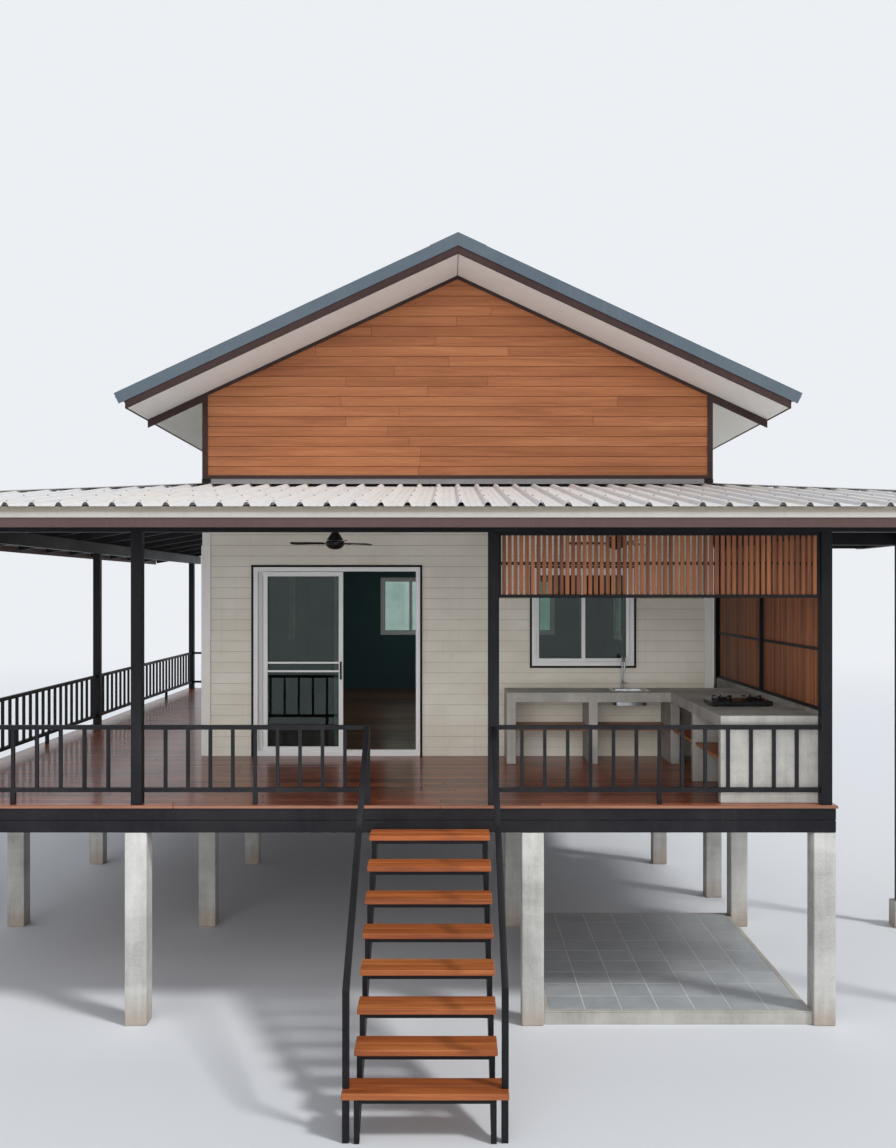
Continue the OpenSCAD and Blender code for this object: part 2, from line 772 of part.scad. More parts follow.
// two-burner hob standing on the counter
module hob() {
  h = deck_top + counter_height;
  xc = counter_x - 90 - (counter_side - 90) / 2;
  yc = y_pf + 1000;
  color([0.06, 0.06, 0.07]) placed()
    translate([xc, yc, h])
      union() {
        translate([-300, -190, 0]) cube([600, 380, 60]);
        for (s = [-1, 1])
          translate([s * 150, 20, 0]) {
            cylinder(h = 78, d = 110);
            difference() {
              cylinder(h = 95, d = 210);
              translate([0, 0, 62]) cylinder(h = 40, d = 190);
            }
            for (a = [0 : 45 : 135]) rotate([0, 0, a]) translate([-100, -4, 50]) cube([200, 8, 45]);
          }
        for (s = [-1, 1])
          translate([s * 150, -189, 30]) rotate([90, 0, 0]) cylinder(h = 20, d = 44);
      }
}

// walls with real openings
door_in = 25;
jamb = 50;

module front_wall_left() {
  color([0.88, 0.87, 0.85]) placed()
    span([-hw, y_wall, frame_top], [door_x - door_wide / 2, y_wall + wall_thick, deck_top + gable_line]);
}

module front_wall_head() {
  color([0.88, 0.87, 0.85]) placed()
    span([door_x - door_wide / 2, y_wall, deck_top + door_high],
      [door_x + door_wide / 2, y_wall + wall_thick, deck_top + gable_line]);
}

rear_window_x = [-860, 1400];
side_window_y = [y_wall + house_depth * 0.28, y_wall + house_depth * 0.74];

module window_hole(x) {
  translate([x - window_wide / 2, -50, deck_top + window_sill])
    cube([window_wide, wall_thick + 100, window_high]);
}

module front_wall_right() {
  color([0.88, 0.87, 0.85]) placed()
    difference() {
      span([door_x + door_wide / 2, y_wall, frame_top], [hw, y_wall + wall_thick, deck_top + gable_line]);
      translate([0, y_wall, 0]) window_hole(window_x);
    }
}

module side_wall(s) {
  difference() {
    span([s * hw, y_wall + wall_thick, frame_top], [s * (hw - wall_thick), y_rear - wall_thick, wall_top]);
    for (y = side_window_y)
      translate([s * hw, y, 0]) rotate([0, 0, s * 90]) window_hole(0);
  }
}

module left_wall() {
  color([0.88, 0.87, 0.85]) placed() side_wall(-1);
}

module right_wall() {
  color([0.88, 0.87, 0.85]) placed() side_wall(1);
}

module rear_wall() {
  color([0.88, 0.87, 0.85]) placed()
    difference() {
      span([-hw, y_rear - wall_thick, frame_top], [hw, y_rear, deck_top + gable_line]);
      for (x = rear_window_x) translate([0, y_rear - wall_thick, 0]) window_hole(x);
    }
}

module corner_boards() {
  t = 12;
  color([0.93, 0.93, 0.92]) placed()
    for (sx = [-1, 1], sy = [-1, 1]) {
      y = sy < 0 ? y_wall : y_rear;
      low = sy > 0 && sx > 0 ? frame_top : deck_top;
      face_top = deck_top + (sy < 0 ? post_height - 6 : gable_line);
      side_top = deck_top + (sy > 0 && sx > 0 ? gable_line : post_height - 6);
      union() {
        span([sx * (hw - 95), y, low], [sx * (hw + t), y + sy * t, min(face_top, side_top)]);
        span([sx * (hw - 95), y, low], [sx * hw, y + sy * t, face_top]);
        span([sx * hw, y - sy * 95, low], [sx * (hw + t), y + sy * t, side_top]);
      }
    }
}

module ceiling() {
  color([0.9, 0.9, 0.88]) placed()
    span([-hw + wall_thick, y_wall + wall_thick, deck_top + ceiling_height],
      [hw - wall_thick, y_rear - wall_thick, deck_top + ceiling_height + 15]);
}

// plank gables standing on the end walls and reaching the purlins
module gable() {
  up = (z_purlin - fit) / pitch_cos;
  translate([0, wall_thick, 0]) rotate([90, 0, 0])
    linear_extrude(wall_thick)
      polygon([[-hw, deck_top + gable_line], [hw, deck_top + gable_line], [hw, wall_top + up],
        [0, apex_z + up], [-hw, wall_top + up]]);
}

module front_gable() {
  color([0.6, 0.3, 0.18]) placed() translate([0, y_wall, 0]) gable();
}

module rear_gable() {
  color([0.6, 0.3, 0.18]) placed() translate([0, y_rear - wall_thick, 0]) gable();
}

// dark boards on the gable face: two corners, a foot flashing and thin rakes,
// which run on as deep boards from the corners out to the eave tips
module gable_trim_set(foot) {
  t = 22;
  x_tip = hw + side_overhang;
  z_tip = apex_z - x_tip * pitch_tan;
  d = rake_thin / pitch_cos;
  d_out = rake_deep / pitch_cos;
  rotate([90, 0, 0])
    linear_extrude(t) {
      for (s = [-1, 1]) {
        polygon([[s * 0.1, apex_z - 0.4], [s * x_tip, z_tip - 0.3], [s * x_tip, z_tip - d_out],
          [s * (hw + fit), wall_top - d_out], [s * (hw + fit), wall_top - d], [s * 0.1, apex_z - d]]);
        x = s > 0 ? hw - 60 : -hw;
        z = deck_top + gable_line + foot + 40.2;
        rise = wall_top - d - 0.2 - z;
        polygon([[x, z], [x + 60, z], [x + 60, z + rise + (s > 0 ? 0 : 60 * pitch_tan)],
          [x, z + rise + (s > 0 ? 60 * pitch_tan : 0)]]);
      }
      translate([-hw, deck_top + gable_line + foot]) square([2 * hw, 40]);
    }
}

module gable_trims() {
  color([0.2, 0.15, 0.14]) placed() {
    translate([0, y_wall, 0]) gable_trim_set(trim_foot);
    translate([0, y_rear, 0]) mirror([0, 1, 0]) gable_trim_set(0);
  }
}

// main roof: local frame with x down the slope from the apex of the soffit plane
module on_main(s) {
  translate([0, 0, apex_z]) mirror([s < 0 ? 1 : 0, 0, 0]) rotate([0, roof_pitch, 0]) children();
}

// trusses sitting on the side walls
module truss() {
  s1 = (soffit_thick + fit) / pitch_cos;
  c = chord_deep / pitch_cos;
  x_tip = hw + side_overhang;
  b = 90;
  zi = wall_top + b;
  xi = (apex_z + s1 - zi) / pitch_tan;
  zt = apex_z + s1;
  m = xi / 2;
  rotate([90, 0, 0])
    linear_extrude(50)
      difference() {
        polygon([[-x_tip, zt - x_tip * pitch_tan], [-hw, zt - hw * pitch_tan], [-hw, wall_top],
          [hw, wall_top], [hw, zt - hw * pitch_tan], [x_tip, zt - x_tip * pitch_tan],
          [x_tip, zt - x_tip * pitch_tan + c], [0, zt + c], [-x_tip, zt - x_tip * pitch_tan + c]]);
        for (s = [-1, 1]) {
          polygon([[s * (m + 50), zi], [s * (xi - 20), zi], [s * (m + 50), zt - (m + 90) * pitch_tan]]);
          polygon([[s * 40, zi], [s * (m - 50), zi], [s * (m - 50), zt - (m + 30) * pitch_tan - 60]]);
          polygon([[s * 40, zi + 140], [s * (m - 90), zt - m * pitch_tan - 20], [s * 40, zt - 140]]);
        }
      }
}

module roof_trusses() {
  y1 = y_wall + wall_thick + 200;
  y2 = y_rear - wall_thick - 200;
  color([0.3, 0.3, 0.32]) placed()
    for (i = [0 : truss_count - 1])
      translate([0, y1 + i * (y2 - y1) / (truss_count - 1) + 25, 0]) truss();
}

module roof_purlins() {
  n = 5;
  color([0.3, 0.3, 0.32]) placed()
    for (s = [-1, 1], i = [0 : n - 1])
      on_main(s)
        translate([120 + i * (eave_run - 260) / (n - 1), y_barge_f + barge_thick, z_purlin])
          cube([50, y_barge_r - y_barge_f - 2 * barge_thick, purlin_deep]);
}

module main_roof_sheets() {
  top = (z_sheet + sheet_thick) * pitch_tan;
  long = eave_run + 60 + (z_sheet + sheet_thick) * pitch_tan - 10;
  color([0.42, 0.47, 0.51]) placed()
    for (s = [-1, 1])
      on_main(s)
        translate([-top + 20 + long, y_barge_f + 2, z_sheet + sheet_thick]) rotate([0, 0, 90])
          ribbed(y_barge_r - y_barge_f - 4, long);
}

// ridge cap and barge caps, folded sheet
module roof_caps() {
  z1 = z_sheet + sheet_thick + rib_high + fit;
  start = z1 * pitch_tan;
  wide = 170;
  long = eave_run + 60 + start + 40;
  z2 = z1 + 5 + fit;
  start2 = z2 * pitch_tan;
  color([0.4, 0.45, 0.5]) placed() {
    // the ridge cap laps over the barge caps
    union()
      for (s = [-1, 1])
        on_main(s)
          translate([-start2 - 4, y_barge_f - 8, z2])
            cube([ridge_wing + start2, y_barge_r - y_barge_f + 16, 5]);
    for (f = [0, 1], s = [-1, 1])
      translate([0, f * (y_barge_f + y_barge_r), 0]) mirror([0, f, 0])
        intersection() {
          span([s * 0.1, y_barge_f - 60, 0],
            [s * (hw + side_overhang + 200), y_barge_f + wide + 20, apex_z + 600]);
          on_main(s)
            union() {
              translate([-start - 40, y_barge_f - 8, z1]) cube([long, wide, 5]);
              translate([-start - 40, y_barge_f - 8, 80]) cube([long, 8 - fit, z1 - 76]);
            }
        }
  }
}

// brown barge boards and eave fascias
module eave_boards() {
  x_tip = hw + side_overhang;
  z_tip = apex_z - x_tip * pitch_tan;
  up = 150;
  color([0.27, 0.2, 0.19]) placed() {
    for (f = [0, 1], s = [-1, 1])
      translate([0, f * (y_barge_f + y_barge_r), 0]) mirror([0, f, 0])
        translate([0, y_barge_f + barge_thick, 0]) rotate([90, 0, 0])
          linear_extrude(barge_thick)
            polygon([[s * 0.1, apex_z], [s * x_tip, z_tip], [s * x_tip, z_tip + up], [s * 0.1, apex_z + up]]);
    for (s = [-1, 1])
      span([s * (x_tip + 0.2), y_barge_f, z_tip - 5], [s * (x_tip + 20), y_barge_r, z_tip + up]);
  }
}

// sloping soffit boards under the overhangs, one each side of the ridge
module soffits() {
  edge = eave_run - soffit_thick * pitch_tan;
  color([0.9, 0.89, 0.87]) placed()
    for (s = [-1, 1])
      on_main(s)
        linear_extrude(soffit_thick)
          polygon([[4, y_barge_f + barge_thick + fit], [edge, y_barge_f + barge_thick + fit],
            [edge, y_barge_r - barge_thick - fit], [4, y_barge_r - barge_thick - fit], [4, y_rear + fit],
            [wall_run + 2 * fit, y_rear + fit], [wall_run + 2 * fit, y_wall - fit], [4, y_wall - fit]]);
}

// sliding door: outer frame with a fixed sash at the left, and a moving sash before it
module ring(w, h, t, depth) {
  rotate([90, 0, 0]) translate([0, 0, -depth])
    linear_extrude(depth)
      difference() {
        square([w, h]);
        translate([t, t]) square([w - 2 * t, h - 2 * t]);
      }
}

sash_wide = (door_wide - 2 * jamb) / 2 + 12;
sash_high = door_high - 2 * jamb - 12;
stile = 52;

module door_frame() {
  color([0.92, 0.92, 0.91]) placed()
    translate([door_x - door_wide / 2, y_wall, deck_top])
      union() {
        translate([0, -10, 0]) ring(door_wide, door_high, jamb, 120);
        translate([jamb - 5, 62, jamb - 5]) ring(sash_wide + 5, door_high - 2 * jamb + 10, stile, 30);
      }
}

module door_glass_fixed() {
  color([0.5, 0.62, 0.6, 0.5]) placed()
    translate([door_x - door_wide / 2 + jamb - 5 + stile, y_wall + 74, deck_top + jamb - 5 + stile])
      cube([sash_wide + 5 - 2 * stile, 6, door_high - 2 * jamb + 10 - 2 * stile]);
}

module door_surround() {
  color([0.1, 0.08, 0.08]) placed()
    translate([door_x - door_wide / 2, y_wall, deck_top])
      rotate([90, 0, 0])
        linear_extrude(14)
          polygon([[-door_in, 0], [0, 0], [0, door_high], [door_wide, door_high], [door_wide, 0],
            [door_wide + door_in, 0], [door_wide + door_in, door_high + door_in],
            [-door_in, door_high + door_in]]);
}

sash_x = door_x - door_wide / 2 + jamb + 60;
sash_y = y_wall + 12;
sash_z = deck_top + jamb + 6;

module door_sash() {
  bar = sash_high * 0.44;
  color([0.92, 0.92, 0.91]) placed()
    translate([sash_x, sash_y, sash_z])
      union() {
        ring(sash_wide, sash_high, stile, 32);
        for (z = [bar, bar + 100])
          translate([stile - 5, 4, z]) cube([sash_wide - 2 * stile + 10, 24, 22]);
      }
}

module door_sash_glass() {
  bar = sash_high * 0.44;
  color([0.5, 0.62, 0.6, 0.5]) placed()
    translate([sash_x + stile, sash_y + 29, sash_z + stile])
      cube([sash_wide - 2 * stile, 3, sash_high - 2 * stile]);
}

module door_handle() {
  color([0.08, 0.08, 0.08]) placed()
    translate([sash_x + sash_wide - stile / 2 - 10, sash_y - 18, sash_z + sash_high * 0.4])
      union() {
        cube([20, 8, 210]);
        for (z = [10, 180]) translate([2, 7, z]) cube([16, 11, 20]);
      }
}

// windows: white frame with two sashes, glass and a dark surround
module at_windows() {
  translate([window_x, y_wall, 0]) children();
  for (x = rear_window_x) translate([x, y_rear, 0]) rotate([0, 0, 180]) children();
  for (s = [-1, 1], y = side_window_y)
    translate([s * hw, y, 0]) rotate([0, 0, s * 90]) children();
}

module window_frames() {
  w = window_wide;
  h = window_high;
  color([0.92, 0.92, 0.91]) placed()
    at_windows()
      translate([-w / 2, 0, deck_top + window_sill])
        union() {
          translate([0, -10, 0]) ring(w, h, 45, 90);
          translate([40, 20, 40]) ring(w / 2 - 10, h - 80, 45, 28);
          translate([w / 2 - 30, 46, 40]) ring(w / 2 - 10, h - 80, 45, 28);
        }
}

module window_glass() {
  w = window_wide;
  h = window_high;
  color([0.5, 0.62, 0.6, 0.5]) placed()
    at_windows()
      translate([-w / 2, 0, deck_top + window_sill]) {
        translate([85, 30, 85]) cube([w / 2 - 100, 5, h - 170]);
        translate([w / 2 + 15, 56, 85]) cube([w / 2 - 100, 5, h - 170]);
      }
}

module window_surrounds() {
  w = window_wide + 50;
  h = window_high + 50;
  color([0.1, 0.08, 0.08]) placed()
    at_windows()
      translate([-w / 2, -14, deck_top + window_sill - 25]) ring(w, h, 25, 14);
}

// ceiling fans under the verandah roof
fan_gap = 6;
hub_top = 24;

// fixed part of a fan: bell over the hub, down rod and canopy under its bar, as one turned form
module fan_mount() {
  a = hub_top + fan_gap;
  b = fan_bar_low - fan_z;
  rotate_extrude()
    polygon([[0, a], [84, a], [82, a + 8], [72, a + 26], [55, a + 52], [38, a + 78], [27, a + 98],
      [12, a + 104], [12, b - 74], [24, b - 70], [40, b - 52], [52, b - 26], [57, b - 5], [57, b], [0, b]]);
}

module fan_mounts() {
  color([0.1, 0.1, 0.11]) placed()
    for (x = fan_x) translate([x, fan_y, fan_z]) fan_mount();
}

// points on an arc round c from angle a to b
function arc(c, r, a, b) = [for (i = [0 : 8]) c + r * [cos(a + i * (b - a) / 8), sin(a + i * (b - a) / 8)]];

// tapered blade with round ends, on a flat iron that reaches into the hub
module fan_blade() {
  tip = 50;
  root = 34;
  rotate([12, 0, 0]) {
    translate([0, 0, -3])
      linear_extrude(6)
        polygon(concat(arc([150, 0], root, 92, 268), arc([fan_radius - tip, 4], tip, -88, 92)));
    translate([0, 0, -9])
      linear_extrude(6.5)
        polygon(concat(arc([70, 0], 16, 90, 270), arc([190, 0], 22, -90, 90)));
  }
}

// turning part of a fan: domed hub and three blades
module fan_rotor(x) {
  translate([x, fan_y, fan_z])
    union() {
      rotate_extrude()
        polygon([[0, -68], [22, -67], [45, -62], [66, -52], [83, -38], [94, -22], [99, -6], [98, 8],
          [92, 18], [86, hub_top], [0, hub_top]]);
      for (a = [45, 165, 285]) rotate([0, 0, a]) fan_blade();
    }
}

module fan_rotor_left() {
  color([0.1, 0.1, 0.11]) placed() fan_rotor(fan_x[0]);
}

module fan_rotor_right() {
  color([0.1, 0.1, 0.11]) placed() fan_rotor(fan_x[1]);
}

stilts();
ground_slab();
floor_frame();
floor_joists();
deck_floor();
house_floor();
stair_frame();
stair_treads();
stair_handrails();
verandah_posts();
railings();
verandah_beams();
verandah_frame();
verandah_sheets();
verandah_flashings();
verandah_upper_fascia();
verandah_lower_fascia();
screen_frames();
screen_slats();
kitchen_counter();
counter_shelves();
sink();
tap();
hob();
front_wall_left();
front_wall_head();
front_wall_right();
left_wall();
right_wall();
rear_wall();
corner_boards();
ceiling();
front_gable();
rear_gable();
gable_trims();
roof_trusses();
roof_purlins();
main_roof_sheets();
roof_caps();
eave_boards();
soffits();
door_frame();
door_glass_fixed();
door_surround();
door_sash();
door_sash_glass();
door_handle();
window_frames();
window_glass();
window_surrounds();
fan_mounts();
fan_rotor_left();
fan_rotor_right();
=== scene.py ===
# Looks of the raised house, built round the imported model. Metres, +Z up, the front faces -Y.
import json
import math
import random

import bmesh
import bpy
from mathutils import Matrix, Vector


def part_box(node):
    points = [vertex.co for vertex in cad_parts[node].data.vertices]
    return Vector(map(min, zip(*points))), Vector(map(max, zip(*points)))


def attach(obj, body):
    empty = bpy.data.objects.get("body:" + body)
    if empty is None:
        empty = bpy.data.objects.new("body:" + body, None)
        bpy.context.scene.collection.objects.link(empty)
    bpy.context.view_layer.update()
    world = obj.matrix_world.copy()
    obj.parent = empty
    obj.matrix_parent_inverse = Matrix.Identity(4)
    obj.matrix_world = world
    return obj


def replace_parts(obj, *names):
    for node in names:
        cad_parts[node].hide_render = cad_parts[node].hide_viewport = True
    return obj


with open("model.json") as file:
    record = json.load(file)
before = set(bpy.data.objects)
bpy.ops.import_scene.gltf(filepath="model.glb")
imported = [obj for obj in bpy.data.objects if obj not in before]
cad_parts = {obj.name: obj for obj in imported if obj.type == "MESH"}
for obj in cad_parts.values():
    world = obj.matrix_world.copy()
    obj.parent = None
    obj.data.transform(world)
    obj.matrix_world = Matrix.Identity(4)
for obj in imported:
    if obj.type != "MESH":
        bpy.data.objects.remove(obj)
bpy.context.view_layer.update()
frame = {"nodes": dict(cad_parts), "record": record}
NODES = frame["nodes"]


# Materials
def rgb(r, g, b):
    """sRGB 0..255 to linear RGBA."""
    def lin(c):
        c /= 255
        return c / 12.92 if c <= 0.04045 else ((c + 0.055) / 1.055) ** 2.4
    return (lin(r), lin(g), lin(b), 1)


def darker(colour, share):
    return tuple(c * share for c in rgb(*colour)[:3]) + (1,)


class Tree:
    """Short calls for the nodes of a material or of the world. A colour of three numbers is sRGB 0..255."""
    def __init__(self, tree, out):
        self.tree = tree
        tree.nodes.clear()
        self.out = self.add(out).inputs[0]

    def add(self, kind, props=None, **inputs):
        node = self.tree.nodes.new("ShaderNode" + kind)
        for key, value in (props or {}).items():
            setattr(node, key, value)
        return self.fill(node, inputs)

    def fill(self, node, inputs):
        for key, value in inputs.items():
            self.put(node.inputs[key.replace("_", " ")], value)
        return node

    def wire(self, node, values, at=range(5)):
        for i, value in zip(at, values):
            self.put(node.inputs[i], value)
        return node

    def put(self, socket, value):
        if isinstance(value, bpy.types.NodeSocket):
            self.tree.links.new(value, socket)
        elif value is not None:
            colour = socket.type == "RGBA" and len(value) == 3
            socket.default_value = rgb(*value) if colour else value

    def math(self, op, a, b=None):
        return self.wire(self.add("Math", {"operation": op}), (a, b)).outputs[0]

    def total(self, *terms):
        """Sum of (value, share) terms."""
        out = None
        for value, share in terms:
            part = value if share == 1 else self.math("MULTIPLY", value, share)
            out = part if out is None else self.math("ADD", out, part)
        return out

    def about(self, value):
        """A value of 0..1 moved to lie about zero."""
        return self.math("SUBTRACT", value, 0.5)

    def vector(self, op, a, b=None):
        node = self.wire(self.add("VectorMath", {"operation": op}), (a, b))
        return node.outputs["Value" if op == "LENGTH" else "Vector"]

    def split(self, vector):
        return list(self.add("SeparateXYZ", Vector=vector).outputs)

    def place(self):
        """Object coordinates in metres."""
        return self.add("TexCoord").outputs["Object"]

    def tone(self, kind="Fac"):
        return self.add("Attribute", {"attribute_name": "tone"}).outputs[kind]

    def coords(self, stretch=(1, 1, 1), toned=0.0):
        """Stretched object coordinates; toned shifts them from board to board."""
        v = self.place()
        if toned:
            shift = self.vector("MULTIPLY", self.tone("Vector"), (toned, toned * 1.7, toned * 2.3))
            v = self.vector("ADD", v, shift)
        return self.vector("MULTIPLY", v, stretch)

    def noise(self, scale, detail, rough, distort=0.0, stretch=(1, 1, 1), toned=0.0):
        return self.add("TexNoise", Vector=self.coords(stretch, toned), Scale=scale, Detail=detail,
                        Roughness=rough, Distortion=distort).outputs[0]

    def map(self, value, a, b, c=0.0, d=1.0, kind="LINEAR"):
        node = self.add("MapRange", {"clamp": True, "interpolation_type": kind})
        return self.wire(node, (value, a, b, c, d)).outputs[0]

    def ramp(self, fac, stops):
        node = self.wire(self.add("ValToRGB"), [fac])
        ramp = node.color_ramp
        while len(ramp.elements) < len(stops):
            ramp.elements.new(0.5)
        for element, (at, *colour) in zip(ramp.elements, stops):
            element.position = at
            element.color = rgb(*colour)
        return node.outputs[0]

    def mix(self, fac, a, b):
        return self.wire(self.add("Mix", {"data_type": "RGBA"}), (fac, a, b), (0, 6, 7)).outputs[2]

    def stain(self, colour, other, value, share):
        return self.mix(self.math("MULTIPLY", value, share), colour, other)

    def choose(self, fac, a, b):
        return self.wire(self.add("Mix", {"data_type": "FLOAT"}), (fac, a, b), (0, 2, 3)).outputs[0]

    def blend(self, fac, a, b):
        """Mixes two shaders or two backgrounds."""
        return self.wire(self.add("MixShader"), (fac, a.outputs[0], b.outputs[0])).outputs[0]

    def bump(self, height, strength, distance):
        return self.add("Bump", Strength=strength, Distance=distance, Height=height).outputs[0]


class Net(Tree):
    """A material with its shader."""
    def __init__(self, name, specular=0.5, **shader):
        self.mat = bpy.data.materials.new(name)
        self.mat.use_nodes = True
        super().__init__(self.mat.node_tree, "OutputMaterial")
        self.shader = self.add("BsdfPrincipled", Specular_IOR_Level=specular, **shader)
        self.put(self.out, self.shader.outputs[0])

    def finish(self, colour, rough, normal=None):
        self.fill(self.shader, {"Base Color": colour, "Roughness": rough, "Normal": normal})
        return self.mat


def wood(name, stops, grain="X", rough=(0.4, 0.55), coat=0.0, tone=0.3, bump=0.25, wide=9.0):
    """Sawn or planed wood; grain is the axis that it runs along, tone how far boards differ."""
    n = Net(name, specular=0.4, Coat_Weight=coat, Coat_Roughness=0.12)
    def stretch(along, across):
        return tuple(along if axis == grain else across for axis in "XYZ")
    figure = n.noise(1.0, 5.0, 0.6, 0.8, stretch(0.7, wide), 37.0)
    lines = n.noise(1.0, 2.0, 0.5, 0.0, stretch(2.5, 150.0), 11.0)
    pores = n.noise(1.0, 1.0, 0.5, 0.0, stretch(9.0, 450.0), 5.0)
    fac = n.total((figure, 0.75), (lines, 0.25), (n.about(n.tone()), tone))
    colour = n.stain(n.ramp(fac, stops), darker(stops[0][1:], 0.35), n.map(pores, 0.62, 0.75), 0.35)
    return n.finish(colour, n.map(lines, 0.3, 0.7, *rough),
                    n.bump(n.total((lines, 1), (figure, 0.6)), bump, 0.0012))


def concrete(name, dark, mid, light, foot=None, rough=0.86):
    """Cast concrete: cloudy tone, pores, faint pour lines and, towards the ground, earth stain."""
    n = Net(name, specular=0.3)
    clouds = n.noise(2.2, 8.0, 0.6, 0.3, (1, 1, 0.6))
    grit = n.noise(85.0, 4.0, 0.6)
    pour = n.noise(1.4, 3.0, 0.5, 0.0, (0.6, 0.6, 9.0))
    streak = n.noise(1.0, 3.0, 0.6, 0.0, (14, 14, 0.5))
    fac = n.total((clouds, 0.55), (grit, 0.2), (pour, 0.12), (streak, 0.13))
    colour = n.ramp(fac, [(0.36, *dark), (0.5, *mid), (0.64, *light)])
    pits = n.add("TexVoronoi", Vector=n.coords(), Scale=46.0).outputs["Distance"]
    hole = n.math("MULTIPLY", n.map(pits, 0.1, 0.04), n.map(clouds, 0.5, 0.62))
    colour = n.mix(hole, colour, darker(dark, 0.45))
    if foot:
        splash = n.total((n.split(n.place())[2], 1), (n.about(streak), 0.35))
        colour = n.stain(colour, foot, n.map(splash, 0.34, 0.0, kind="SMOOTHSTEP"), 0.5)
    relief = n.total((grit, 0.5), (clouds, 1), (hole, -1.5))
    return n.finish(colour, rough, n.bump(relief, 0.35, 0.002))


def coated(name, base, dust, rough=0.42, metal=0.0, amount=0.35, streaks=0.0, spec=0.35, painted_shade=None):
    """Paint or powder coat: cloudy dust, fine peel, rain streaks, and painted shade above a height.

    The last argument is (low, high, colour, share): painted shade, a darker colour that comes in above a
    height."""
    n = Net(name, Metallic=metal, specular=spec)
    clouds = n.noise(1.4, 6.0, 0.62, 0.4)
    specks = n.noise(40.0, 4.0, 0.7)
    cover = n.map(n.total((clouds, 0.7), (specks, 0.3)), 0.42, 0.66)
    colour = n.stain(base, dust, cover, amount)
    if streaks:
        run = n.map(n.noise(1.0, 4.0, 0.6, 0.0, (24, 24, 0.8)), 0.52, 0.74)
        colour = n.stain(colour, dust, run, streaks)
    if painted_shade:
        low, high, shade_tone, share = painted_shade
        # Painted shade: darker above the given height, standing in for the shade under an overhang.
        edge = n.total((n.split(n.place())[2], 1), (n.about(clouds), 0.012))
        colour = n.stain(colour, shade_tone, n.map(edge, low, high, kind="SMOOTHSTEP"), share)
    return n.finish(colour, n.map(clouds, 0.3, 0.7, rough - 0.07, rough + 0.1),
                    n.bump(n.noise(260.0, 2.0, 0.5), 0.06, 0.0006))


def sheet_metal(name, base, warm, shade, hip=None, foil=None, metal=0.25, rough=0.42):
    """Roll-formed roof sheet: tone changes from sheet to sheet, rain runs down the slope, foil beneath.

    hip is (x, y, ratio) of the line where a front slope meets the side slopes."""
    sheet_width = 0.88
    n = Net(name, Metallic=metal, specular=0.4)
    x, y, _ = n.split(n.place())
    across = n.noise(1.0, 5.0, 0.62, 0.2, (1.1, 26, 26))
    runs, u = across, y
    if hip:
        down = n.noise(1.0, 5.0, 0.62, 0.2, (26, 1.1, 26))
        behind = n.math("SUBTRACT", hip[1], y)
        past = n.math("SUBTRACT", n.math("SUBTRACT", n.math("ABSOLUTE", x), hip[0]),
                      n.math("MULTIPLY", behind, hip[2]))
        on_side = n.math("GREATER_THAN", past, 0.0)
        runs, u = n.choose(on_side, down, across), n.choose(on_side, x, y)
    cell = n.math("FLOOR", n.math("DIVIDE", u, sheet_width))
    each = n.add("TexWhiteNoise", {"noise_dimensions": "1D"}, W=cell).outputs["Value"]
    clouds = n.noise(1.3, 7.0, 0.62, 0.5)
    colour = n.mix(n.map(clouds, 0.4, 0.66), base, warm)
    colour = n.stain(colour, shade, n.map(runs, 0.5, 0.75), 0.45)
    colour = n.stain(colour, shade, each, 0.16)
    if foil:
        faces_up = n.split(n.add("NewGeometry").outputs["Normal"])[2]
        colour = n.mix(n.math("LESS_THAN", faces_up, -0.2), colour, foil)
    relief = n.total((clouds, 1), (runs, 0.3))
    return n.finish(colour, n.map(runs, 0.35, 0.7, rough - 0.08, rough + 0.12),
                    n.bump(relief, 0.08, 0.003))


def glass(name):
    n = Net(name, Transmission_Weight=1.0, IOR=1.45)
    film = n.noise(3.0, 5.0, 0.6)
    return n.finish(n.mix(n.map(film, 0.35, 0.7), (140, 166, 156), (160, 182, 172)),
                    n.map(film, 0.4, 0.8, 0.0, 0.04))


def bright_metal(name):
    n = Net(name, Metallic=1.0)
    brush = n.noise(1.0, 2.0, 0.5, 0.0, (3, 220, 220))
    spots = n.noise(14.0, 4.0, 0.6)
    return n.finish(n.mix(n.map(spots, 0.4, 0.7), (205, 207, 208), (176, 179, 182)),
                    n.map(brush, 0.3, 0.7, 0.16, 0.3), n.bump(brush, 0.05, 0.0004))


def siding(name):
    """Painted cement boards with a pressed grain, a little dust on each lap."""
    n = Net(name, specular=0.35)
    grain = n.noise(1.0, 3.0, 0.6, 0.3, (3, 3, 130), 23.0)
    clouds = n.noise(1.5, 6.0, 0.6, 0.0, (0.8, 0.8, 1.4))
    runs = n.map(n.noise(1.0, 4.0, 0.6, 0.0, (18, 18, 0.7)), 0.55, 0.8)
    colour = n.mix(n.map(clouds, 0.36, 0.68), (228, 224, 213), (215, 209, 195))
    colour = n.stain(colour, (195, 187, 172), n.tone(), 0.12)
    colour = n.stain(colour, (170, 162, 148), runs, 0.16)
    return n.finish(colour, n.map(grain, 0.3, 0.7, 0.5, 0.64), n.bump(grain, 0.16, 0.0012))


def tiles(name):
    n = Net(name, specular=0.45)
    mottled = n.noise(5.0, 7.0, 0.65, 0.4, toned=9.0)
    specks = n.noise(120.0, 3.0, 0.6)
    fac = n.total((mottled, 0.75), (specks, 0.25), (n.about(n.tone()), 0.12))
    colour = n.ramp(fac, [(0.3, 148, 153, 157), (0.5, 162, 167, 171), (0.7, 176, 180, 183)])
    return n.finish(colour, n.map(mottled, 0.3, 0.7, 0.42, 0.6), n.bump(fac, 0.12, 0.001))


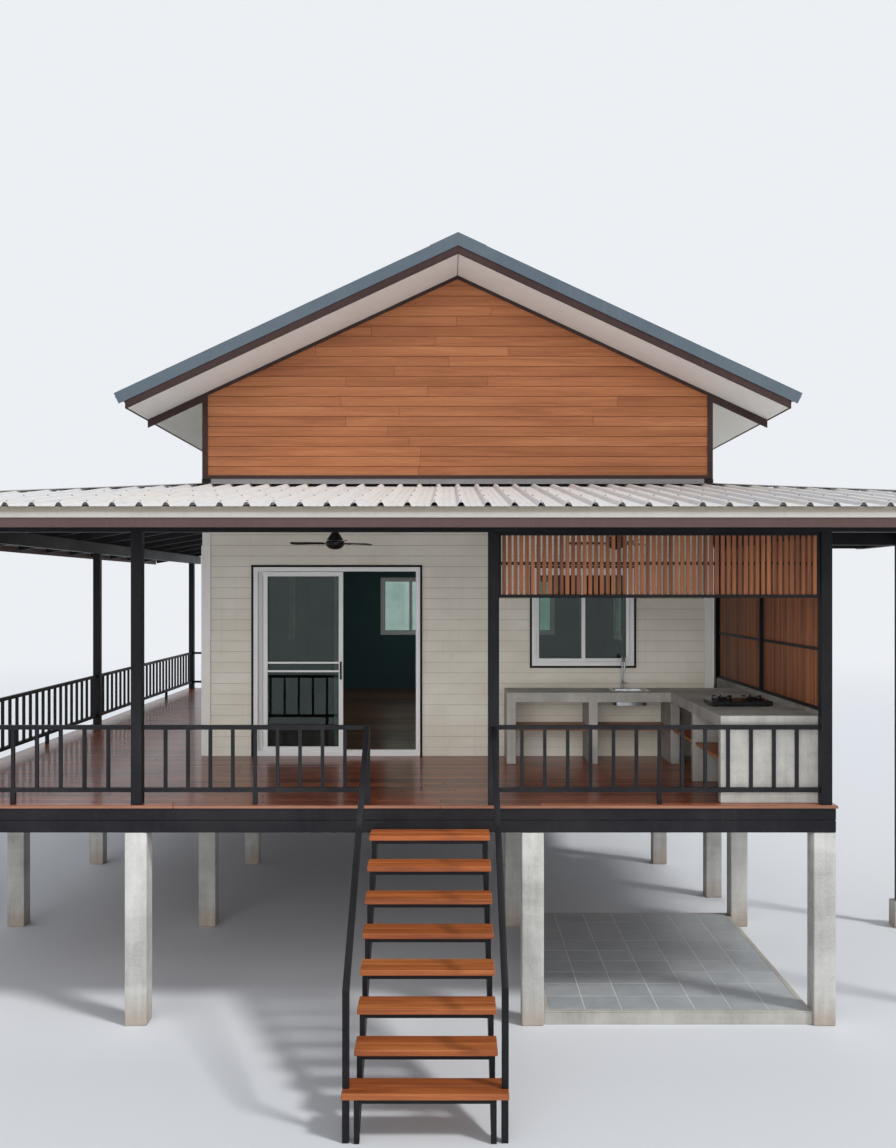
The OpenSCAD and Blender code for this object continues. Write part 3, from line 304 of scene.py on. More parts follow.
BROWN = [(0.25, 80, 32, 16), (0.44, 112, 49, 25), (0.6, 136, 65, 35), (0.8, 160, 87, 51)]
ORANGE = [(0.3, 114, 56, 26), (0.46, 150, 80, 38), (0.6, 176, 102, 52), (0.78, 204, 132, 76)]
PLANK = [(0.2, 125, 70, 40), (0.42, 158, 94, 55), (0.6, 177, 111, 69), (0.8, 197, 133, 89)]
SLAT = [(0.24, 84, 44, 24), (0.42, 120, 70, 42), (0.6, 148, 90, 56), (0.8, 174, 114, 76)]
# Tones of the deck's front edge board: lighter and greyer than the deck, a painted highlight of the lit
# edge.
PAINTED_HIGHLIGHT_NOSING = [(0.25, 106, 68, 50), (0.5, 134, 94, 74), (0.75, 158, 120, 98)]
INDOOR = [(0.3, 70, 44, 32), (0.5, 98, 66, 48), (0.7, 126, 88, 64)]

M = {
    "stilt": concrete("cast_concrete", (152, 152, 148), (188, 188, 184), (210, 210, 206),
                      foot=(156, 128, 104)),
    "counter": concrete("trowelled_cement", (136, 134, 129), (164, 162, 157), (188, 186, 180), rough=0.78),
    "slab": concrete("slab_concrete", (150, 148, 142), (178, 176, 170), (198, 196, 190)),
    "tile": tiles("grey_tile"),
    "grout": concrete("light_grout", (204, 207, 207), (220, 222, 222), (232, 234, 234)),
    "zinc": coated("zinc_screw", (150, 152, 154), (110, 108, 104), 0.35, metal=0.7),
    "steel": coated("black_steel_paint", (20, 20, 24), (62, 61, 63), 0.48, amount=0.22, streaks=0.1,
                    spec=0.2),
    "deck": wood("deck_oil_wood", BROWN, rough=(0.26, 0.4), coat=0.26, tone=0.42, bump=0.16),
    # The edge board is real; its lighter wood is painted highlight.
    "nosing": wood("deck_nosing_wood_painted_highlight", PAINTED_HIGHLIGHT_NOSING, bump=0.16),
    "tread": wood("tread_wood", ORANGE, rough=(0.34, 0.5), coat=0.2, wide=12.0),
    "plank": wood("gable_plank_wood", PLANK, rough=(0.42, 0.58), coat=0.05, tone=0.17, wide=14.0),
    "slat": wood("slat_wood", SLAT, "Z", rough=(0.42, 0.6), tone=0.26, wide=24.0),
    "shelf": wood("shelf_wood", PLANK),
    "indoor": wood("indoor_floor_wood", INDOOR, rough=(0.3, 0.44), coat=0.3, tone=0.35),
    "sheet": sheet_metal("verandah_sheet", (228, 230, 233), (233, 230, 223), (176, 180, 190),
                         hip=(3.0, -2.379, 3.1 / 3.84), foil=(222, 222, 218), metal=0.08, rough=0.52),
    "blue_sheet": sheet_metal("main_roof_sheet", (88, 101, 113), (98, 110, 118), (70, 82, 94)),
    "blue_cap": coated("blue_grey_folded_sheet", (84, 97, 108), (112, 122, 128), amount=0.3, streaks=0.2),
    "grey_cap": coated("grey_folded_sheet", (148, 147, 148), (120, 115, 110), 0.46, amount=0.4,
                       streaks=0.25),
    # Painted shade: the top band of the fascia is darkened for the shade under the sheet edge.
    "cream": coated("cream_folded_fascia", (190, 187, 180), (156, 151, 140), 0.45, streaks=0.25,
                    painted_shade=(4.580, 4.606, (122, 113, 98), 0.8)),
    "mauve": coated("mauve_brown_board", (90, 70, 68), (112, 92, 88), 0.5, streaks=0.2, spec=0.25),
    "dark": coated("dark_brown_board", (58, 42, 40), (90, 74, 70), 0.5, amount=0.3, streaks=0.2, spec=0.2),
    "soffit": coated("soffit_paint", (233, 232, 229), (212, 208, 201), 0.6, amount=0.3),
    "siding": siding("painted_lap_siding"),
    "white": coated("white_board_paint", (232, 231, 227), (204, 200, 192), 0.5, amount=0.3, streaks=0.15),
    # Outer face of the wall core, seen only in the gaps under the laps: darkened as painted shade.
    "lap_back": coated("painted_lap_gap_shade", (160, 156, 147), (130, 125, 117), 0.7, amount=0.5),
    "frame": coated("white_powder_coat", (232, 233, 233), (206, 206, 204), 0.34, amount=0.25),
    "trim": coated("black_trim_paint", (24, 18, 18), (60, 52, 50), 0.46, amount=0.2, spec=0.2),
    "glass": glass("clear_glass"),
    "bright": bright_metal("brushed_steel_plate"),
    "enamel": coated("black_enamel", (18, 18, 20), (52, 52, 54), 0.18, amount=0.2),
    "fan": coated("fan_black_paint", (15, 12, 12), (60, 54, 52), 0.36, amount=0.2, spec=0.3),
    "inner": coated("indoor_teal_paint", (60, 88, 92), (78, 104, 106), 0.7, amount=0.4),
    "truss": coated("grey_steel_paint", (92, 92, 94), (120, 118, 114), 0.5),
}


# Mesh helpers
AXES = {"X": ((0, 1, 0), (0, 0, 1), (1, 0, 0)), "Y": ((1, 0, 0), (0, 0, 1), (0, 1, 0)),
        "Z": ((1, 0, 0), (0, 1, 0), (0, 0, 1))}


def extent(points):
    """Low and high corner of some points."""
    return [Vector([pick(axis) for axis in zip(*points)]) for pick in (min, max)]


def islands(name):
    """Boxes of the separate solids of a CAD node as (low corner, high corner), sorted."""
    mesh = NODES[name].data
    keys = [tuple(round(c, 5) for c in v.co) for v in mesh.vertices]
    group = {k: {k} for k in keys}
    for poly in mesh.polygons:
        joined = set().union(*[group[keys[i]] for i in poly.vertices])
        group.update(dict.fromkeys(joined, joined))
    boxes = [extent(g) for g in {id(g): g for g in group.values()}.values()]
    return sorted(boxes, key=lambda box: [round(c, 3) for corner in box for c in corner])


def box_faces():
    """Faces of a chamfered box; vertex 8 * axis + corner lies on the side that the axis crosses."""
    faces = []
    for axis in range(3):
        b, d = [i for i in range(3) if i != axis]
        def at(side_axis, s, sb, sd):
            return 8 * side_axis + (s << axis) + (sb << b) + (sd << d)
        for s in (0, 1):
            faces.append([at(axis, s, sb, sd) for sb, sd in ((0, 0), (1, 0), (1, 1), (0, 1))])
        for sb in (0, 1):
            for sd in (0, 1):
                faces.append([at(f, s, sb, sd) for f, s in ((b, 0), (b, 1), (d, 1), (d, 0))])
    return faces + [[8 * axis + corner for axis in range(3)] for corner in range(8)]


BOX_FACES = box_faces()


def round_edges(obj, width):
    mod = obj.modifiers.new("edges", "BEVEL")
    mod.width = width
    mod.segments = 2
    mod.limit_method = "ANGLE"
    mod.angle_limit = math.radians(30)


def new_object(name, data, at=(0, 0, 0)):
    obj = bpy.data.objects.new(name, data)
    obj.location = at
    bpy.context.scene.collection.objects.link(obj)
    return obj


class Shape:
    """Collects closed parts, each with a tone and a material number, and becomes one object."""
    def __init__(self):
        self.verts, self.faces, self.tones, self.mats = [], [], [], []

    def add(self, verts, faces, tone=0.5, mat=0):
        base = len(self.verts)
        self.verts += [tuple(v) for v in verts]
        for face in faces:
            self.faces.append([base + i for i in face])
            self.tones.append(tone)
            self.mats.append(mat)

    def board(self, lo, hi, c=0.002, tone=0.5, mat=0):
        """Box with chamfered edges between two opposite corners."""
        lo, hi = extent((lo, hi))
        c = min([c] + [(hi[i] - lo[i]) * 0.4 for i in range(3)])
        verts = []
        for axis in range(3):
            for corner in range(8):
                verts.append([hi[i] - c * (i != axis) if corner >> i & 1 else lo[i] + c * (i != axis)
                              for i in range(3)])
        self.add(verts, BOX_FACES, tone, mat)

    def loft(self, rings, tone=0.5, mat=0, caps=False, closed=False):
        """Skin over rings of points; a tip is one point, and closed joins the last ring to the first."""
        n = max(len(ring) for ring in rings)
        verts = [p for ring in rings for p in ring]
        faces = [list(range(n)), list(range(len(verts) - n, len(verts)))] if caps else []
        starts = [sum(len(r) for r in rings[:i]) for i in range(len(rings))]
        sides = [[[a + k, a + (k + 1) % n] if len(ring) > 1 else [a] for k in range(n)]
                 for ring, a in zip(rings, starts)]
        for low, high in zip(sides, sides[1:] + sides[:closed]):
            faces += [one + two[::-1] for one, two in zip(low, high) if len(one + two) > 2]
        self.add(verts, faces, tone, mat)

    def prism(self, outline, place, a, b, tone=0.5, mat=0):
        """Outline of (u, v) points carried from depth a to depth b by place(u, v, w)."""
        self.loft([[place(u, v, w) for u, v in outline] for w in (a, b)], tone, mat, caps=True)

    def turned(self, centre, profile, axes=AXES["Z"], n=40):
        """Revolved profile of (radius, height) in mm; axes are two across and the one turned about."""
        u, w, up = [Vector(axis) for axis in axes]
        rings = []
        for r, h in [(r / 1000, h / 1000) for r, h in profile]:
            angles = [2 * math.pi * i / n for i in range(n if r else 1)]
            rings.append([Vector(centre) + u * (r * math.cos(t)) + w * (r * math.sin(t)) + up * h
                          for t in angles])
        self.loft(rings)

    def tube(self, path, radius, n=14):
        """Round bar along points, with flat ends."""
        path = [Vector(p) for p in path]
        rings, side = [], None
        for i, p in enumerate(path):
            run = (path[min(i + 1, len(path) - 1)] - path[max(i - 1, 0)]).normalized()
            if side is None:
                side = run.orthogonal().normalized()
            side = (side - run * side.dot(run)).normalized()
            up = run.cross(side)
            angles = [2 * math.pi * k / n for k in range(n)]
            rings.append([p + radius * (math.cos(t) * side + math.sin(t) * up) for t in angles])
        self.loft(rings, caps=True)

    def build(self, name, looks, slot, body="house", replaces="", smooth=None, bevel=0.0, weld=False):
        mesh = bpy.data.meshes.new(name)
        mesh.from_pydata(self.verts, [], self.faces)
        mesh.polygons.foreach_set("material_index", self.mats)
        tone = mesh.attributes.new("tone", "FLOAT", "FACE")
        tone.data.foreach_set("value", self.tones)
        bm = bmesh.new()
        bm.from_mesh(mesh)
        if weld:
            bmesh.ops.remove_doubles(bm, verts=bm.verts, dist=0.00005)
        bmesh.ops.recalc_face_normals(bm, faces=bm.faces)
        bm.to_mesh(mesh)
        bm.free()
        for look in looks.split():
            mesh.materials.append(M[look])
        obj = new_object(name, mesh)
        if smooth:
            mesh.shade_smooth()
            mesh.set_sharp_from_angle(angle=math.radians(smooth))
        if bevel:
            round_edges(obj, bevel)
        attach(obj, body)
        if replaces:
            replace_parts(obj, *replaces.split())
        return obj


def spans(a, b, cuts):
    """What is left of the stretch a..b when the stretches in cuts are taken out."""
    shortest = 0.004
    out, at = [], a
    for c, d in sorted(cuts):
        if c > at:
            out.append((at, min(c, b)))
        at = max(at, d)
    if at < b:
        out.append((at, b))
    return [(c, d) for c, d in out if d - c > shortest]


def lengths(rng, a, b, shortest, longest, gap, first):
    """Boards end to end from a to b with a joint of gap between them."""
    out, at, step = [], a, first
    while b - at > longest + shortest * 0.5:
        out.append((at, at + step - gap))
        at += step
        step = rng.uniform(shortest, longest)
    return out + [(at, b)]


def soften(obj, width):
    """Rounds the edges of a CAD node with modifiers; the node's own mesh stays as it is."""
    weld = obj.modifiers.new("weld", "WELD")
    weld.merge_threshold = 0.00002
    flat = obj.modifiers.new("flat", "DECIMATE")
    flat.decimate_type = "DISSOLVE"
    flat.angle_limit = math.radians(0.5)
    round_edges(obj, width)


# CAD nodes that stay in view, by look, each with the width of its rounded edges
CAD_LOOKS = {
    "stilt": {"stilts": 0.012},
    "steel": {"floor_joists": 0.003, "stair_frame": 0.003, "stair_handrails": 0.003,
              "verandah_posts": 0.005, "railings": 0.002, "verandah_beams": 0.004, "verandah_frame": 0,
              "screen_frames": 0.002},
    "grey_cap": {"verandah_flashings": 0},
    "mauve": {"verandah_lower_fascia": 0.002},
    "counter": {"kitchen_counter": 0.008},
    "white": {"corner_boards": 0.002},
    "soffit": {"ceiling": 0, "soffits": 0},
    "dark": {"gable_trims": 0.002, "eave_boards": 0.002},
    "truss": {"roof_trusses": 0, "roof_purlins": 0},
    "blue_sheet": {"main_roof_sheets": 0},
    "blue_cap": {"roof_caps": 0},
    "frame": {"door_frame": 0.0015, "door_sash": 0.002, "window_frames": 0.0015},
    "glass": {"door_glass_fixed": 0, "door_sash_glass": 0, "window_glass": 0},
    "trim": {"door_surround": 0.0015, "door_handle": 0.002, "window_surrounds": 0.0015},
}
for look, parts in CAD_LOOKS.items():
    for name, width in parts.items():
        NODES[name].data.materials.clear()
        NODES[name].data.materials.append(M[look])
        if width:
            soften(NODES[name], width)


# Sizes from the frame
DECK_LO, DECK_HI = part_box("deck_floor")
DECK_Z = DECK_HI.z
FRONT_LO, FRONT_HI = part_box("front_wall_left")
HW, Y_WALL, WALL_T, GABLE_Z = -FRONT_LO.x, FRONT_LO.y, FRONT_HI.y - FRONT_LO.y, FRONT_HI.z
Y_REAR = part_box("rear_wall")[1].y
Z_BASE = FRONT_LO.z
WALL_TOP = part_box("left_wall")[1].z
DOOR_LO, DOOR_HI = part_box("door_frame")
STRIP_Y = DECK_LO.y + 4.4  # end of the deck and of the roof on the right side
GABLE_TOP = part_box("front_gable")[1].z
ROOF_TILT = math.radians(25)
ROOF_TAN = math.tan(ROOF_TILT)
WINDOWS = islands("window_frames")


# Walls of lapped boards
LAP, TAPER, LAP_THICK, LAP_SHADOW = 0.125, 0.011, 0.015, 0.004


def wall(name, axis, at, u0, u1, z1, replaces, holes=()):
    """Wall along an axis: lapped boards outside, lining inside, its windows and holes (u0, u1, z0, z1)."""
    across, inward = 1 - axis, -1 if at > 0 else 1
    def place(u, w, z):
        """Point w inwards from the wall's outer face."""
        return (at + inward * w, u, z) if axis else (u, at + inward * w, z)
    holes = [(lo[axis], hi[axis], lo.z, hi.z) for lo, hi in WINDOWS
             if hi[across] - lo[across] < 0.2 and (lo[across] > 0) == (at > 0)] + list(holes)
    shape = Shape()
    us = sorted({u0, u1} | {u for h in holes for u in h[:2]})
    zs = sorted({Z_BASE, z1} | {z for h in holes for z in h[2:] if Z_BASE < z < z1})
    def solid(i, j):
        if not (0 <= i < len(us) - 1 and 0 <= j < len(zs) - 1):
            return False
        um, zm = (us[i] + us[i + 1]) / 2, (zs[j] + zs[j + 1]) / 2
        return not any(h[0] < um < h[1] and h[2] < zm < h[3] for h in holes)
    def face(mat, *points):
        shape.add([place(u, w, z) for (u, z), w in points], [[0, 1, 2, 3]], 0.5, mat)
    for i in range(len(us) - 1):
        for j in range(len(zs) - 1):
            if not solid(i, j):
                continue
            a, b, c, d = [(us[i + x], zs[j + z]) for x, z in ((0, 0), (1, 0), (1, 1), (0, 1))]
            # Material 0, the core's outer face, shows in the gaps under the laps; its darker colour is
            # painted shade.
            for w, mat in ((LAP_THICK, 0), (WALL_T, 1)):
                face(mat, (a, w), (b, w), (c, w), (d, w))
            for di, dj, p, q in ((-1, 0, a, d), (1, 0, b, c), (0, -1, a, b), (0, 1, d, c)):
                if not solid(i + di, j + dj):
                    face(1, (p, LAP_THICK), (q, LAP_THICK), (q, WALL_T), (p, WALL_T))
    shape.build(name + "_core", "lap_back inner", "white_board", weld=True)
    rng = random.Random(name)
    boards = Shape()
    back = LAP_THICK - 0.0002
    z = Z_BASE
    while z < z1 - 0.005:
        top = min(z + LAP, z1)
        cuts = sorted({z, top} | {e for h in holes for e in h[2:] if z < e < top})
        joints = lengths(rng, u0, u1, 2.4, 3.6, 0.0015, rng.uniform(0.8, 3.4))
        tones = [rng.random() for _ in joints]
        for low, high in zip(cuts, cuts[1:]):
            gaps = [h[:2] for h in holes if h[2] < (low + high) / 2 < h[3]]
            d0, d1 = [TAPER * (e - z) / LAP for e in (low, high)]
            foot = low + (LAP_SHADOW if low == z > Z_BASE else 0.0)
            head = high - 0.0003
            outline = [(d0, foot), (d1, head), (back, head), (back, foot)]
            for (a, b), tone in zip(joints, tones):
                for c, d in spans(a, b, gaps):
                    boards.prism(outline, lambda w, zz, u: place(u, w, zz), c, d, tone)
        z += LAP
    boards.build(name, "siding", "white_siding", replaces=replaces)


side_from, side_to = Y_WALL + WALL_T, Y_REAR - WALL_T
door_hole = (DOOR_LO.x, DOOR_HI.x, DECK_Z - 0.1, DOOR_HI.z)
wall("siding_front", 0, Y_WALL, -HW, HW, GABLE_Z, "front_wall_left front_wall_head front_wall_right",
     [door_hole])
wall("siding_rear", 0, Y_REAR, -HW, HW, GABLE_Z, "rear_wall")
wall("siding_left", 1, -HW, side_from, side_to, WALL_TOP, "left_wall")
wall("siding_right", 1, HW, side_from, side_to, WALL_TOP, "right_wall")


# Plank gables
PLANK_PITCH, PLANK_THICK, PLANK_GAP = 0.118, 0.020, 0.004


def clip(outline, slope):
    """The part of a convex outline below the roof line v = GABLE_TOP - slope * u."""
    out = []
    for (u1, v1), (u2, v2) in zip(outline, outline[1:] + outline[:1]):
        d1, d2 = [GABLE_TOP - slope * u - v for u, v in ((u1, v1), (u2, v2))]
        if d1 >= 0:
            out.append((u1, v1))
        if d1 * d2 < 0:
            t = d1 / (d1 - d2)
            out.append((u1 + t * (u2 - u1), v1 + t * (v2 - v1)))
    return out


def plank_gable(name, place, node):
    rng = random.Random(name)
    planks, core = Shape(), Shape()
    z = GABLE_Z
    while z < GABLE_TOP:
        head = z + PLANK_PITCH - PLANK_GAP
        for a, b in lengths(rng, -HW, HW, 1.5, 3.4, 0.002, rng.uniform(0.7, 3.0)):
            outline = clip(clip([(a, z), (b, z), (b, head), (a, head)], ROOF_TAN), -ROOF_TAN)
            us = [u for u, _ in outline]
            if len(us) > 2 and max(us) - min(us) > 0.01:
                planks.prism(outline, place, 0.0, PLANK_THICK - 0.0005, rng.random())
        z += PLANK_PITCH
    planks.build(name + "_planks", "plank", "plank", replaces=node, bevel=0.0022)
    side = GABLE_TOP - HW * ROOF_TAN
    core.prism([(-HW, GABLE_Z), (HW, GABLE_Z), (HW, side), (0, GABLE_TOP), (-HW, side)], place,
               PLANK_THICK, WALL_T)
    core.build(name + "_core", "dark", "dark_trim")


plank_gable("gable_front", lambda u, v, w: (u, Y_WALL + w, v), "front_gable")
plank_gable("gable_rear", lambda u, v, w: (u, Y_REAR - w, v), "rear_gable")


# Floors
def rows(a, b, pitch, gap, least=1):
    """Even stretches from a to b, about pitch wide, with a gap between them."""
    n = max(least, round((b - a) / pitch))
    step = (b - a) / n
    return [(a + i * step + gap / 2, a + (i + 1) * step - gap / 2) for i in range(n)]


def floor_boards(name, node, areas, looks, slot, pitch, gap, shortest, longest, nosing=0.0):
    """Boards over rectangles (u0, u1, v0, v1), u along X; the last argument gives the width of a front
    strip along the first one, in a lighter wood: a real edge board whose lighter tone is painted highlight.
    """
    rng = random.Random(name)
    shape = Shape()
    z0, z1 = [corner.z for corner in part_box(node)]
    def row(u0, u1, low, high, chamfer, mat=0):
        for a, b in lengths(rng, u0, u1, shortest, longest, 0.0025, rng.uniform(shortest * 0.5, longest)):
            shape.board((a, low, z0), (b, high, z1), chamfer, rng.random(), mat)
    if nosing:
        u0, u1, v0, v1 = areas[0]
        # The front strip takes material 1, lighter as painted highlight of the lit edge.
        row(u0, u1, v0, v0 + nosing, 0.004, 1)
        areas = [(u0, u1, v0 + nosing, v1)] + areas[1:]
    for u0, u1, v0, v1 in areas:
        for low, high in rows(v0, v1, pitch, gap):
            row(u0, u1, low, high, 0.0025)
    shape.build(name, looks, slot, replaces=node)


IN_LO, IN_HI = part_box("house_floor")
floor_boards("deck_boards", "deck_floor",
             [(DECK_LO.x, DECK_HI.x, DECK_LO.y, Y_WALL - 0.002),
              (DECK_LO.x, -HW - 0.002, Y_WALL - 0.002, Y_REAR),
              (HW + 0.002, DECK_HI.x, Y_WALL - 0.002, STRIP_Y)],
             "deck nosing", "deck_wood", 0.12, 0.004, 1.6, 3.6, 0.03)
floor_boards("indoor_boards", "house_floor", [(IN_LO.x, IN_HI.x, IN_LO.y, IN_HI.y)],
             "indoor", "floor_board", 0.15, 0.001, 1.2, 2.4)


# Tiled slab
def border(u0, u1, v0, v1, wide):
    """Four strips (u0, u1, v0, v1) inside the edges of a rectangle."""
    return [(u0, u1, v0, v0 + wide), (u0, u1, v1 - wide, v1),
            (u0, u0 + wide, v0 + wide, v1 - wide), (u1 - wide, u1, v0 + wide, v1 - wide)]


lo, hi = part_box("ground_slab")
edge, thick, pitch, joint = 0.05, 0.010, 0.335, 0.008
bed = hi.z - thick
rng = random.Random("tiles")
base, grout, tile = Shape(), Shape(), Shape()
base.board(lo, (hi.x, hi.y, bed), 0.006)
for a, b, c, d in border(lo.x, hi.x, lo.y, hi.y, edge):
    base.board((a, c, bed), (b, d, hi.z), 0.003)
grout.board((lo.x + edge, lo.y + edge, bed), (hi.x - edge, hi.y - edge, hi.z - 0.0025))
for a, b in rows(lo.x + edge, hi.x - edge, pitch, joint):
    for c, d in rows(lo.y + edge, hi.y - edge, pitch, joint):
        rise = rng.uniform(-0.0004, 0.0)
        tile.board((a, c, bed + 0.001), (b, d, hi.z + rise), 0.001, rng.random())
base.build("slab_concrete", "slab", "concrete", replaces="ground_slab")
grout.build("slab_grout", "grout", "concrete")
tile.build("slab_tiles", "tile", "tile")


# Steel floor frame: each edge beam is two tubes, one welded on the other
shape = Shape()
inset = Vector((0.007, 0.007, 0))
for lo, hi in islands("floor_frame"):
    mid = (lo.z + hi.z) / 2
    shape.board(lo, (hi.x, hi.y, mid - 0.0008), 0.006)
    shape.board((lo.x, lo.y, mid + 0.0008), hi, 0.006)
    shape.board(Vector((lo.x, lo.y, mid - 0.01)) + inset, Vector((hi.x, hi.y, mid + 0.01)) - inset)
shape.build("floor_beams", "steel", "black_steel", replaces="floor_frame")

# Each tread is two planks
rng = random.Random("treads")
shape = Shape()
for lo, hi in islands("stair_treads"):
    tone = rng.uniform(0.35, 0.75)
    mid = lo.y + (hi.y - lo.y) * 0.52
    shape.board(lo, (hi.x, mid - 0.0007, hi.z), 0.005, tone)
    shape.board((lo.x, mid + 0.0007, lo.z), hi, 0.004, tone + rng.uniform(-0.12, 0.12))
shape.build("treads", "tread", "tread_wood", replaces="stair_treads")


rng = random.Random("slats")
shape, rails = Shape(), Shape()


def screen(place, length, z0, z1, rail):
    """Upright slats with a rail behind them; place(u, w), w outwards."""
    pitch, wide = 0.052, 0.035
    n = int((length - 0.01) / pitch)
    q = length / n
    for i in range(n):
        at = i * q + (q - wide) / 2 + rng.uniform(-0.001, 0.001)
        shape.board((*place(at, -0.012), z0), (*place(at + wide, 0.006), z1), 0.002, rng.random())
    z = z0 + rail * (z1 - z0)
    rails.board((*place(0, 0.0065), z), (*place(length, 0.017), z + 0.03))


(lo, hi), (side_lo, side_hi) = islands("screen_frames")
y = (lo.y + hi.y) / 2
screen(lambda u, w: (lo.x + 0.02 + u, y + w), hi.x - lo.x - 0.04, lo.z + 0.03, hi.z - 0.03, 0.5)
x, y = (side_lo.x + side_hi.x) / 2, (side_lo.y + side_hi.y) / 2
z0, z1 = side_lo.z + 0.03, side_hi.z - 0.03
for start in (side_lo.y + 0.02, y + 0.025):
    screen(lambda u, w: (x - w, start + u), (side_hi.y - side_lo.y) / 2 - 0.045, z0, z1, 0.33)
rails.board((side_lo.x - 0.022, y - 0.0245, z0 + 0.001), (side_lo.x - 0.0005, y + 0.0245, z1 - 0.001),
            0.003)
rails.build("screen_rails", "steel", "black_steel")
shape.build("slats", "slat", "slat_wood", replaces="screen_slats")


rng = random.Random("shelves")
shape = Shape()
for lo, hi in islands("counter_shelves"):
    for low, high in rows(lo.y, hi.y, 0.14, 0.002, 2):
        shape.board((lo.x, low, lo.z), (hi.x, high, hi.z), 0.002, rng.random())
shape.build("shelf_boards", "shelf", "slat_wood", replaces="counter_shelves")


# Verandah sheets, corner strips and rib closers
SHEET_LO, SHEET_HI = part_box("verandah_sheets")
FASCIA_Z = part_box("verandah_upper_fascia")[0].z
FLASH_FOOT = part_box("verandah_flashings")[1].z
X_EAVE, Y_EAVE, EAVE_Z = -SHEET_LO.x, SHEET_LO.y, FASCIA_Z + 0.1
RISE = GABLE_Z - EAVE_Z
FRONT_RUN, SIDE_RUN = Y_WALL - Y_EAVE, X_EAVE - HW
HIP = FRONT_RUN / SIDE_RUN
SIDES = ((-1, SHEET_HI.y), (1, STRIP_Y))  # side, rear end of its roof
RIB_HIGH, RIB_PITCH, RIB_CLEAR, OVER = 0.0354, 0.22, 0.037, 0.016
HALF_RIB = [(0.036, 0.0), (0.0325, 0.0018), (0.029, 0.007), (0.025, 0.015), (0.021, 0.023),
            (0.0165, 0.0295), (0.009, 0.0338)]
RIB = [(-u, h) for u, h in HALF_RIB] + [(0.0, 0.035)] + HALF_RIB[::-1]
SWAGE = [(-0.006, 0.0), (-0.003, 0.0016), (0.003, 0.0016), (0.006, 0.0)]


def rib_lines(a, b):
    n = round((b - a) / RIB_PITCH)
    return [a + (i + 0.5) * (b - a) / n for i in range(n)]


def sheet_profile(a, b):
    """Line across a roof sheet as (distance, height): round-backed ribs, two small swages between them."""
    ribs = rib_lines(a, b)
    q = ribs[1] - ribs[0]
    line = [(a, 0.0)]
    for r in ribs:
        line += [(r + u, h) for u, h in RIB]
        for at in (q / 2 - 0.03, q / 2 + 0.03):
            if r + q < b:
                line += [(r + at + u, h) for u, h in SWAGE]
    return line + [(b, 0.0)]


def slope(line, run, place, top):
    """Sheet from just over the eave to top(u) in from it; place(u, d) is the plan."""
    steep = math.hypot(run, RISE) / run
    rings = []
    for u, h in line:
        if (top(u) + OVER) * steep > 0.012:
            corners = ((-OVER, 0.0002), (top(u), 0.0002), (top(u), -0.0048), (-OVER, -0.0048))
            rings.append([(*place(u, d), EAVE_Z + d * RISE / run + (h + lift) * steep)
                          for d, lift in corners])
    shape.loft(rings, caps=True)


shape = Shape()
slope(sheet_profile(-X_EAVE, X_EAVE), FRONT_RUN, lambda u, d: (u, Y_EAVE + d),
      lambda u: FRONT_RUN - max(0.002, (abs(u) - HW + 0.006) * HIP))
for s, y_end in SIDES:
    slope(sheet_profile(Y_EAVE, y_end), SIDE_RUN, lambda u, d: (s * (X_EAVE - d), u),
          lambda u: SIDE_RUN - max(0.002, (Y_WALL - u) / HIP + 0.006))
shape.build("verandah_sheeting", "sheet", "roof_sheet", replaces="verandah_sheets", smooth=32)

# Front corner boards carried on up to the roof frame
shape = Shape()
for lo, hi in islands("corner_boards"):
    if lo.y < Y_WALL:
        shape.board((max(lo.x, -HW), lo.y, hi.z + 0.0005),
                    (min(hi.x, HW), Y_WALL - 0.0005, GABLE_Z - 0.22))
shape.build("corner_strips", "white", "white_board")

# Dark foam between the ribs under the wall flashings, trim beside the feet of the gable corners
shape = Shape()
z0, z1 = GABLE_Z - 0.002, GABLE_Z + 0.035
ribs = [x for x in rib_lines(-X_EAVE, X_EAVE) if abs(x) < HW - 0.1]
for x in ribs + [ribs[0] - RIB_PITCH]:
    shape.board((x + RIB_CLEAR, Y_WALL - 0.014, z0), (x + RIB_PITCH - RIB_CLEAR, Y_WALL - 0.0005, z1))
for s, y_end in SIDES:
    for y in rib_lines(Y_EAVE, y_end):
        if Y_WALL + 0.1 < y < min(y_end, Y_REAR) - 0.2:
            shape.board((s * (HW + 0.0005), y + RIB_CLEAR, z0),
                        (s * (HW + 0.014), y + RIB_PITCH - RIB_CLEAR, z1))
    shape.board((s * (HW - 0.0995), Y_WALL - 0.012, GABLE_Z + 0.041),
                (s * (HW + 0.001), Y_WALL - 0.0005, FLASH_FOOT))
shape.build("rib_closers", "trim", "black_trim")


# Roof screws
BARGE_LO, BARGE_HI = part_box("eave_boards")
CAP_LO, CAP_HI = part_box("roof_caps")
APEX_Z = WALL_TOP + HW * ROOF_TAN
EAVE_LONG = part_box("soffits")[1].x / math.cos(ROOF_TILT)
SHEET_UP, CAP_UP, END_CAP_UP = 0.2008, 0.2112, 0.2060  # height of a screw's seat over the rafter line
SCREW = [(0, 0), (10.5, 0), (10.5, 1.8), (6.2, 2.2), (6.2, 6.8), (0, 7.2)]
screws = Shape()


def screw(origin, along, normal):
    """Hexagon screw with its washer."""
    along = Vector(along)
    screws.turned(origin, SCREW, (along, normal.cross(along), normal), 6)


